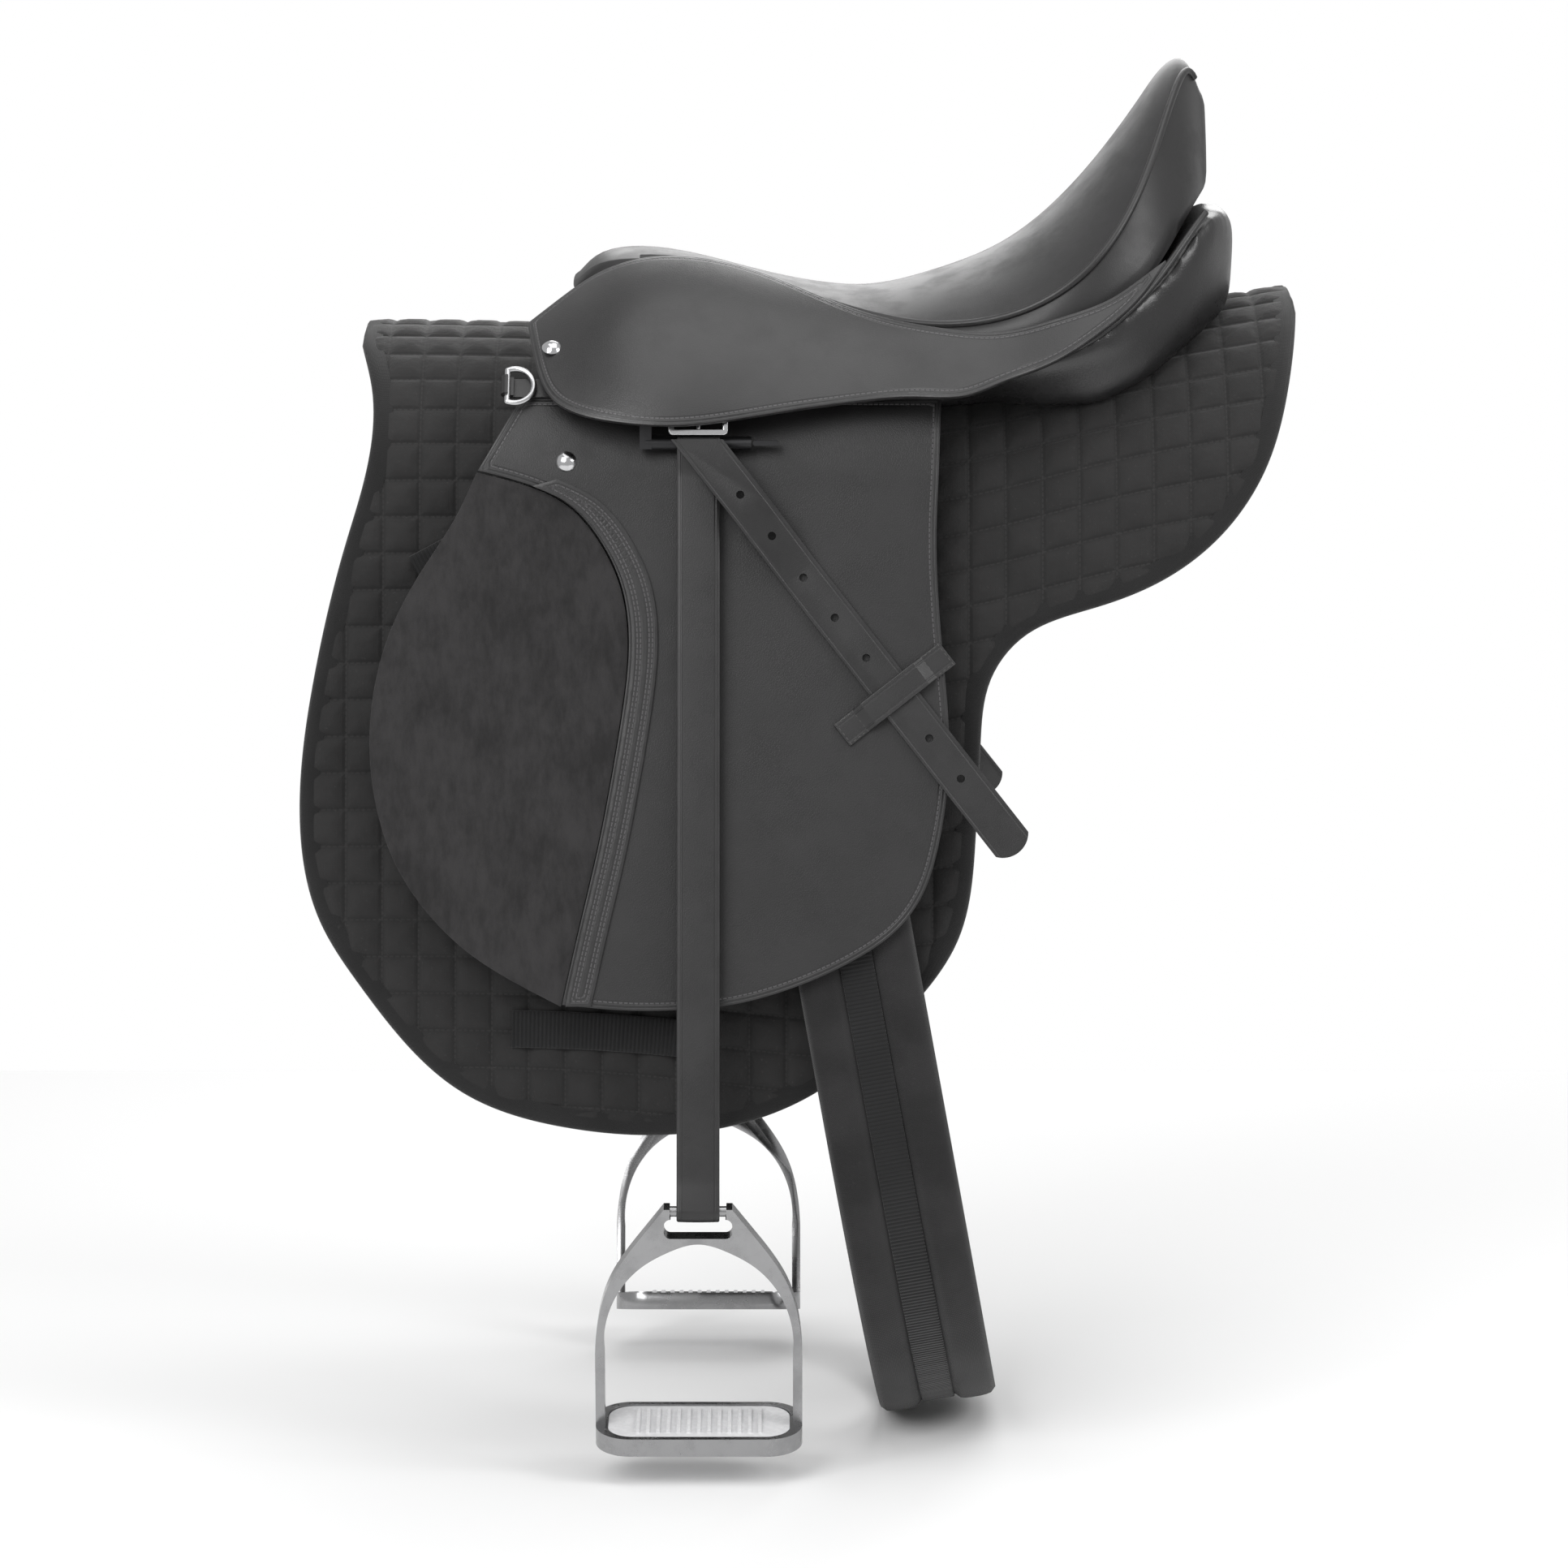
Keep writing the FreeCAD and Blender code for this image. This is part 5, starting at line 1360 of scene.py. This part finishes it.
@dataclass
class Flaps(Assembly):
    """The large flaps with their suede knee patches, trims and keepers."""

    depth: float = 33.6
    thick: float = 3.5
    cell: float = 3.6
    patch_thick: float = 6.3
    trim_wide: float = 15.0
    trim_thick: float = 1.5
    keeper_down: float = 187.0
    keeper_thick: float = 2.2
    bar_depth: float = 45.0
    fold: float = 10.0

    def build(self) -> None:
        """Makes the flaps and all that is sewn to them."""
        top = -20.5
        shape = outline((Join.STRAIGHT, [(-200, top), (-204, BAR_HEIGHT), (-225, -62)]),
                        (Join.SMOOTH, TRIM_LINE), (Join.SMOOTH, FLAP_REAR),
                        (Join.STRAIGHT, [FLAP_REAR[-1], (48, top)]),
                        (Join.STRAIGHT, [(48, top), (-200, top)]), pitch=3.5)
        near = cut_sheet("flap_leather_left", shape, FLAP_ARCH, self.depth, self.cell)
        thicken(near, self.thick)
        x, y, z = -0.095, -0.1468, BAR_HEIGHT * MM
        self.bend(near, "flap leather", ("flap", "flap_top"), ("saddle", "flap_{}_body"),
                  (x, y, z + self.fold * MM), (x, y, z - self.fold * MM))
        self.keep_nodes("chrome", *(f"flap_stud_{side.value}" for side in Side))
        self.patch()
        self.trim()
        self.keeper_stitches()
        self.both(strap_from("tail_keeper_left", "leather_keeper_left",
                             TAIL_ALONG, TAIL_ACROSS),
                  "keeper leather", "black_leather", "flap_{}_body", "leather_keeper")
        self.both(strap_from("strap_tail_left", "leather_tail_left", TAIL_ACROSS, TAIL_ALONG),
                  "strap leather", "black_leather", "flap_{}_body", "leather_tail")

    def keeper_stitches(self) -> None:
        """The box of stitches at each end of the keeper."""
        across, down = TAIL_ACROSS, TAIL_ALONG
        out = leaned((0, -1, 0), 0.0)
        middle = BAR_CENTRE + down * self.keeper_down \
            + out * (self.depth + self.thick + self.keeper_thick - self.bar_depth)
        places, ways = [], []
        for end in (-1, 1):
            for row in (25.5, 38.0):
                for step in np.linspace(-7, 7, 5):
                    places.append(middle + across * end * row + down * step)
                    ways.append(down)
            for step in np.linspace(28.5, 35.0, 3):
                for rim in (-7, 7):
                    places.append(middle + across * end * step + down * rim)
                    ways.append(across)
        thread = stitched("keeper_stitches_left", np.array(places), np.array(ways),
                          np.tile(out, (len(places), 1)))
        self.both(thread, "thread", "black_leather", "flap_{}_body")

    def patch(self) -> None:
        """The padded suede patch in front of the trim."""
        back = [(x - 0.8, z - 1.0) for x, z in TRIM_LINE]
        front = [back[-1]] + PATCH_FRONT[1:-1] + [back[0]]
        shape = outline((Join.SMOOTH, back), (Join.SMOOTH, front), pitch=3.5)

        def padding(gap: np.ndarray, flat: np.ndarray) -> np.ndarray:
            """Full in the middle and thin at the seam."""
            soft = 0.03 * np.sin(flat[:, 0] / 19.0) * np.sin(flat[:, 1] / 27.0)
            return 0.5 + 0.5 * np.sin(np.clip(gap / 26.0, 0, 1) * HALF_TURN) + soft

        piece = cut_sheet("suede_patch_left", shape, FLAP_ARCH, self.depth, self.cell,
                          padding)
        thicken(piece, self.patch_thick, 0.12)
        self.both(piece, "suede", "suede", "flap_{}_body", "knee_patch", fill=0.5)

    def trim(self) -> None:
        """The doubly sewn strip over the seam behind the patch."""
        strip = [(x + 2.0, z - 0.5) for x, z in TRIM_LINE[1:]]
        last = len(strip) - 1
        wide = [(x + self.trim_wide, z + 4.0 * (1 - i / last))
                for i, (x, z) in enumerate(strip)]
        shape = outline((Join.SMOOTH, strip), (Join.STRAIGHT, [strip[-1], wide[-1]]),
                        (Join.SMOOTH, wide[::-1]), (Join.STRAIGHT, [wide[0], strip[0]]),
                        pitch=2.5)
        piece = cut_sheet("sewn_trim_left", shape, FLAP_ARCH, self.depth + self.thick + 0.1,
                          2.0)
        thicken(piece, self.trim_thick)
        self.both(piece, "trim leather", "black_leather", "flap_{}_body", "patch_trim")


def leaned(vector: Sequence[float], lean: float) -> np.ndarray:
    """A direction turned back along the flap and laid on the splayed leg."""
    turn = math.radians(lean)
    x, y, z = vector
    x, z = x * math.cos(turn) - z * math.sin(turn), x * math.sin(turn) + z * math.cos(turn)
    return np.array([x, y * math.cos(SPLAY) + z * math.sin(SPLAY),
                     z * math.cos(SPLAY) - y * math.sin(SPLAY)])


TAIL_LEAN = 38.0
TAIL_ALONG = leaned((0, 0, -1), TAIL_LEAN)
TAIL_ACROSS = leaned((1, 0, 0), TAIL_LEAN)
BAR_CENTRE = np.array([-95.0, -146.77, BAR_HEIGHT])


def hung(down: float, off: float) -> np.ndarray:
    """A place on the line that the near leather hangs in, in millimetres.

    Args:
        down: how far down from the bar.
        off: how far out from the line.

    Returns:
        The place.
    """
    return BAR_CENTRE + leaned((0, -off, -down), 0.0)


def stitched(name: str, places: np.ndarray, along: np.ndarray, out: np.ndarray,
             long: float = 2.3) -> bpy.types.Object:
    """A run of thread stitches, each a small rounded bead.

    Args:
        name: the piece's name.
        places: the middle of each stitch, in millimetres.
        along: the direction of each stitch.
        out: the direction out of the leather at each.
        long: the length of a stitch.

    Returns:
        The stitches as one piece.
    """
    beads = []
    fresh()
    bpy.ops.mesh.primitive_uv_sphere_add(segments=6, ring_count=4, radius=1.0)
    first = bpy.context.active_object
    shape = positions(first) * np.array([0.42, 0.36, long / 2])
    for place, way, up in zip(places, along, out):
        way, up = way / np.linalg.norm(way), up / np.linalg.norm(up)
        side = np.cross(up, way)
        bead = first.copy()
        bead.data = first.data.copy()
        bpy.context.collection.objects.link(bead)
        move_to(bead, (place + shape[:, :1] * side + shape[:, 1:2] * up
                       + shape[:, 2:] * way) * MM)
        beads.append(bead)
    bpy.data.objects.remove(first)
    thread = joined(name, beads)
    edit(thread, lambda: bpy.ops.mesh.normals_make_consistent(inside=False))
    return smooth_faces(thread, 180)


def strap_from(name: str, node: str, across: np.ndarray, along: np.ndarray,
               bevel: float = 0.7) -> bpy.types.Object:
    """A strap copied from its CAD node, with its place across and along stored on it.

    Args:
        name: the piece's name.
        node: the node.
        across: the direction over the strap's width.
        along: the direction down its length.
        bevel: the rounding of its edges in millimetres.

    Returns:
        The strap.
    """
    strap = from_node(name, node, bevel)
    places = positions(strap)
    side = places @ across
    set_value(strap, "across", side - (side.max() + side.min()) / 2)
    set_value(strap, "edge_run", places @ along)
    return strap


@dataclass
class StirrupLeathers(Assembly):
    """The straps that the irons hang from, with their buckles."""

    wide: float = 25.0
    thick: float = 3.2
    drop: float = 450.0
    slit: float = 0.25
    fold: Point2 = (20.0, 48.0)

    def strap(self) -> bpy.types.Object:
        """The strap, folded over the bar and round the eye of the iron."""
        over, under, close = 4.15, 3.25, 14.0
        turn = np.linspace(math.pi, 0, 13)
        top = np.stack([-over * np.sin(turn), over * np.cos(turn)], 1)
        turn = np.linspace(0, math.pi, 13)
        base = np.stack([self.drop + under * np.sin(turn), under * np.cos(turn)], 1)
        falls = np.linspace(close, self.drop - close, 60)
        outer = np.stack([falls, np.full(60, self.slit)], 1)
        inner = np.stack([falls[::-1], np.full(60, -self.slit)], 1)
        line = np.concatenate([top, outer, base, inner])
        ahead = np.roll(line, -1, axis=0) - np.roll(line, 1, axis=0)
        path = np.array([hung(down, off) for down, off in line])
        facing = np.stack([-ahead[:, 1], ahead[:, 0]], 1)
        out = np.array([hung(down, off) - hung(0.0, 0.0) for down, off in facing])
        piece = sweep("doubled_strap_left", path, out, strap_section(self.wide, self.thick),
                      closed=True)
        places = positions(piece)
        set_value(piece, "across", places[:, 0] - BAR_CENTRE[0] * MM)
        set_value(piece, "edge_run", places[:, 2])
        return smooth_faces(piece, 45)

    def build(self) -> None:
        """Makes the doubled straps and the buckles."""
        start, end = (hung(drop, 0.0) * MM for drop in self.fold)
        self.bend(self.strap(), "strap leather", ("leather_loop", "stirrup_leather"),
                  ("loop_{}_body", "leather_{}_body"), start, end)
        buckle = from_node("roller_buckle_left", "stirrup_buckle_left", 0.9)
        self.both(buckle, "chrome", "chrome", "loop_{}_body", "stirrup_buckle")
        self.keep_nodes("chrome", *(f"buckle_tongue_{side.value}" for side in Side))


@dataclass
class StirrupIrons(Assembly):
    """The irons and their ribbed rubber treads."""

    def build(self) -> None:
        """Makes the irons and the treads."""
        iron = from_node("polished_iron_left", "stirrup_iron_left", 1.3, 30, 3)
        self.both(iron, "iron steel", "chrome", "iron_{}_body", "stirrup_iron")
        tread = from_node("rubber_tread_left", "stirrup_tread_left", 0.5)
        self.both(tread, "white rubber", "white_rubber", "iron_{}_body", "stirrup_tread")


@dataclass
class Girth(Assembly):
    """The padded girth with its webbing, buckles and billets."""

    depth: float = 22.0
    thick: float = 7.5
    wide: float = 72.0
    top: float = -245.0
    bottom: float = -650.6
    lean: float = 10.4
    pivot: Point2 = (-55.0, -62.0)

    def path(self, depth: float, top: float) -> tuple[np.ndarray, np.ndarray]:
        """The line the band hangs in, from the near side round to the off side.

        Args:
            depth: how far out of the leg line it hangs.
            top: the height it starts at.

        Returns:
            Its points and the direction out of it at each.
        """
        reach = 95.0 * math.cos(SPLAY) + depth
        low = self.bottom - (depth - self.depth)
        radius = (reach - low * math.sin(SPLAY)) / (1 + math.sin(SPLAY))
        centre = low + radius
        turn = np.linspace(math.pi - SPLAY, 2 * math.pi + SPLAY, 90)
        arc = np.stack([radius * np.cos(turn), centre + radius * np.sin(turn)], 1)
        facing = np.stack([np.cos(turn), np.sin(turn)], 1)
        head = np.array([-(95.0 - top * math.tan(SPLAY) + depth / math.cos(SPLAY)), top])
        run = np.linspace(0, 1, 36)[:-1, None]
        near = head + (arc[0] - head) * run
        flip = np.array([-1, 1])
        line = np.concatenate([near, arc, (near * flip)[::-1]])
        out = np.concatenate([np.tile(facing[0], (35, 1)), facing,
                              np.tile(facing[0] * flip, (35, 1))])
        lean = math.radians(self.lean)
        x0, z0 = self.pivot
        drop = line[:, 1] - z0
        points = np.stack([x0 - drop * math.sin(lean), line[:, 0],
                           z0 + drop * math.cos(lean)], 1)
        outward = np.stack([-out[:, 1] * math.sin(lean), out[:, 0],
                            out[:, 1] * math.cos(lean)], 1)
        return points, outward

    def section(self) -> np.ndarray:
        """Two padded rolls with a channel between them for the webbing."""
        half, channel = self.wide / 2, 10.5
        roll = half - channel
        across = np.linspace(-1, 1, 9)
        lobe = np.sqrt(np.maximum(0, 1 - np.abs(across) ** 3))
        left = np.stack([-channel - roll / 2 + across * roll / 2,
                         3.4 + (self.thick - 3.4) * lobe], 1)
        right = left[::-1] * np.array([-1, 1])
        outer = np.concatenate([left, right])
        base = np.array([(half - 0.5, 1.2), (half - 3, 0), (0, 0.3), (-half + 3, 0),
                         (-half + 0.5, 1.2)])
        return np.concatenate([outer, base])

    def build(self) -> None:
        """Makes the girth, its webbing and its straps."""
        path, out = self.path(self.depth, self.top)
        girth = smooth_faces(sweep("padded_girth", path, out, self.section()), 70)
        self.fit(girth, "girth cotton", "girth_cotton", "girth_body", "girth")
        line, facing = self.path(self.depth + 3.7, self.top - 8)
        web = sweep("ribbed_girth_webbing", line, facing, strap_section(20.0, 1.3, 0.4, 0.0))
        smooth_faces(web, 50)
        self.fit(web, "webbing", "webbing", "girth_body", "girth_webbing")
        billets = strap_from("girth_straps", "billets", np.array([1.0, 0, 0]),
                             np.array([0, 0, 1.0]), 0.5)
        self.fit(billets, "billet leather", "black_leather", "girth_body", "billets")
        buckles = from_node("plated_girth_buckles", "girth_buckles", 0.9)
        self.fit(buckles, "chrome", "chrome", "girth_body", "girth_buckles")
        self.keep_nodes("chrome", "girth_buckle_tongues")


@dataclass
class Panels(Assembly):
    """The flocked cushions under the seat, and the thin panels and sweat flaps below."""

    cap: float = 5.0
    welt: float = 2.2
    facing_edge: Sequence[tuple[float, float, float]] = (
        (85, -129, 0), (119, -140, 7), (150, -134, 25), (180, -116, 56), (198, -101, 80),
        (206, -92, 90))

    def build(self) -> None:
        """Makes the cushions and the leather below them."""
        cushion = stuffed("flocked_cushion_left", "panel_cushion_left", self.cap)
        self.both(cushion, "panel leather", "black_leather", "saddle", "panel_cushion",
                  fill=0.8)
        path = through(self.facing_edge, 60)
        out = np.tile([0.0, -1.0, 0.6], (len(path), 1))
        welt = smooth_faces(sweep("cushion_welt_left", path, out, round_section(self.welt)), 60)
        self.both(welt, "leather", "black_leather", "saddle")
        lower = outline(
            (Join.STRAIGHT, [(-190, -56), (30, -56)]),
            (Join.SMOOTH, [(30, -56), (28, -200), (20, -270), (-10, -318), (-70, -345),
                           (-140, -350)]),
            (Join.SMOOTH, [(-140, -350), (-205, -325), (-255, -270), (-268, -215),
                           (-252, -150), (-222, -95), (-190, -56)]), pitch=4.0)

        def padding(gap: np.ndarray, flat: np.ndarray) -> np.ndarray:
            """Thin at the seam round the edge."""
            return 0.45 + 0.5 * np.sin(np.clip(gap / 22.0, 0, 1) * HALF_TURN)

        piece = thicken(cut_sheet("lower_panel_left", lower, FLAP_ARCH, 9.9, 4.5, padding),
                        6.0, 0.1)
        self.both(piece, "flap leather", "black_leather", "saddle", "panel_lower")
        sweat = outline(
            (Join.STRAIGHT, [(-180, -8), (38, -8)]), (Join.STRAIGHT, [(38, -8), (36, -200)]),
            (Join.SMOOTH, [(36, -200), (28, -275), (-10, -322), (-70, -346), (-140, -350)]),
            (Join.SMOOTH, [(-140, -350), (-152, -300), (-140, -220), (-138, -150),
                           (-155, -100), (-180, -70)]),
            (Join.STRAIGHT, [(-180, -70), (-180, -8)]), pitch=4.0)
        piece = thicken(cut_sheet("girth_guard_left", sweat, FLAP_ARCH, 17.2, 4.5), 2.3)
        self.both(piece, "flap leather", "black_leather", "saddle", "sweat_flap")


STUFFING_FRAMES = 20
STUFFING_PRESSURE = 4.0


def stuffed(name: str, node: str, cap: float, voxel: float = 3.5) -> bpy.types.Object:
    """A cushion blown up from its CAD node by a cloth simulation.

    Args:
        name: the cushion's name.
        node: the node.
        cap: how far a point may move, in millimetres.
        voxel: the cell it is remeshed at.

    Returns:
        The cushion.
    """
    piece = from_node(name, node, 0.2, 80, 1)
    apply_modifier(piece, "REMESH", mode="VOXEL", voxel_size=voxel * MM)
    apply_modifier(piece, "SMOOTH", factor=0.6, iterations=12)
    before = positions(piece)
    only(piece)
    cloth = piece.modifiers.new("Stuffing", "CLOTH")
    cloth.settings.use_pressure = True
    cloth.settings.uniform_pressure_force = STUFFING_PRESSURE
    cloth.settings.effector_weights.gravity = 0.0
    cloth.point_cache.frame_start, cloth.point_cache.frame_end = 1, STUFFING_FRAMES
    for step in range(1, STUFFING_FRAMES + 1):
        bpy.context.scene.frame_set(step)
    shown = piece.evaluated_get(bpy.context.evaluated_depsgraph_get())
    after = np.zeros(len(shown.data.vertices) * 3)
    shown.data.vertices.foreach_get("co", after)
    moved = after.reshape(-1, 3) - before
    piece.modifiers.remove(cloth)
    bpy.context.scene.frame_set(1)
    long = np.linalg.norm(moved, axis=1, keepdims=True)
    moved *= np.minimum(1, cap * MM / np.maximum(long, 1e-9))
    move_to(piece, before + moved)
    apply_modifier(piece, "SMOOTH", factor=0.5, iterations=26)
    apply_modifier(piece, "SUBSURF", levels=1, render_levels=1)
    return smooth_faces(piece, 180)


@dataclass
class Inside(Assembly):
    """What holds the saddle together: tree, head plate, seat webbing, foam, bars and dees."""

    def build(self) -> None:
        """Gives the nodes that are shown as they are their finishes."""
        self.keep_nodes("beech ply", "tree")
        self.keep_nodes("plain steel", "head_plate")
        self.keep_nodes("plain webbing", "seat_webbing")
        for side in Side:
            self.keep_nodes("blacked steel", f"stirrup_bar_{side.value}",
                            f"bar_catch_{side.value}")
            self.keep_nodes("leather", f"dee_chape_{side.value}")
            self.keep_nodes("chrome", f"dee_ring_{side.value}")


@dataclass
class Studio:
    """A pale floor and background, soft lights and the camera."""

    target: tuple[float, float, float] = (-0.0448, -0.17, -0.2438)
    distance: float = 2.9
    elevation: float = 6.0
    lens: float = 113.5
    floor_gap: float = 0.002
    floor_wide: float = 2.6
    fill: float = 0.55

    def build(self) -> None:
        """Sets the stage."""
        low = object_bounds()[0]
        fresh()
        bpy.ops.mesh.primitive_plane_add(size=self.floor_wide,
                                         location=(0, 0, low[2] - self.floor_gap))
        floor = bpy.context.active_object
        floor.name = "studio_floor"
        material, _, shader = bare_material("studio_floor")
        shader.inputs["Base Color"].default_value = rgb(0.9, 0.9, 0.9)
        shader.inputs["Roughness"].default_value = 0.9
        floor.data.materials.append(material)
        floor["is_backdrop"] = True
        self.lights()
        self.camera()

    def lights(self) -> None:
        """Soft boxes over and beside the saddle, and a bright surround."""
        for name, place, size, power in (
                ("top", (0.1, -0.6, 2.1), 2.2, 22.0), ("near", (-1.4, -2.5, 1.3), 1.8, 50.0),
                ("rear", (2.2, -1.4, 1.2), 1.2, 24.0), ("off", (0.3, 2.4, 1.4), 1.8, 26.0)):
            data = bpy.data.lights.new(f"softbox_{name}", "AREA")
            data.energy, data.size = power, size
            lamp = bpy.data.objects.new(f"softbox_{name}", data)
            bpy.context.collection.objects.link(lamp)
            lamp.location = place
            aim = Vector(self.target) - Vector(place)
            lamp.rotation_euler = aim.to_track_quat("-Z", "Y").to_euler()
            lamp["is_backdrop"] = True
        world = bpy.data.worlds.new("studio")
        world.use_nodes = True
        tree = Tree(world.node_tree)
        seen = tree.add("ShaderNodeLightPath").outputs["Is Camera Ray"]
        strength = tree.remap(seen, 0.0, 1.0, self.fill, 1.0)
        back = tree.add("ShaderNodeBackground", {"Color": rgb(1.0, 1.0, 1.0),
                        "Strength": strength})
        output = tree.add("ShaderNodeOutputWorld")
        tree.tree.links.new(back.outputs[0], output.inputs["Surface"])
        bpy.context.scene.world = world
        bpy.context.scene.view_settings.view_transform = "Standard"

    def camera(self) -> None:
        """The camera on the near side, a little above the flap."""
        data = bpy.data.cameras.new("camera")
        data.lens, data.sensor_width = self.lens, 36.0
        camera = bpy.data.objects.new("camera", data)
        bpy.context.collection.objects.link(camera)
        lift = math.radians(self.elevation)
        reach = Vector((0, -math.cos(lift), math.sin(lift))) * self.distance
        camera.location = Vector(self.target) + reach
        camera.rotation_euler = (-reach).to_track_quat("-Z", "Y").to_euler()
        bpy.context.scene.camera = camera
        camera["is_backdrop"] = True


def main() -> None:
    """Builds the saddle's pieces in order, dresses them and sets the stage."""
    logging.basicConfig(level=logging.INFO, format="%(name)s %(message)s")
    finish = make_finishes()
    for assembly in (SaddlePad, Panels, Girth, Flaps, Skirts, Seat, StirrupLeathers,
                     StirrupIrons, Inside):
        assembly(finish).build()
        LOG.info("%s done", assembly.__name__)
    Studio().build()


if __name__ == "__main__":
    main()
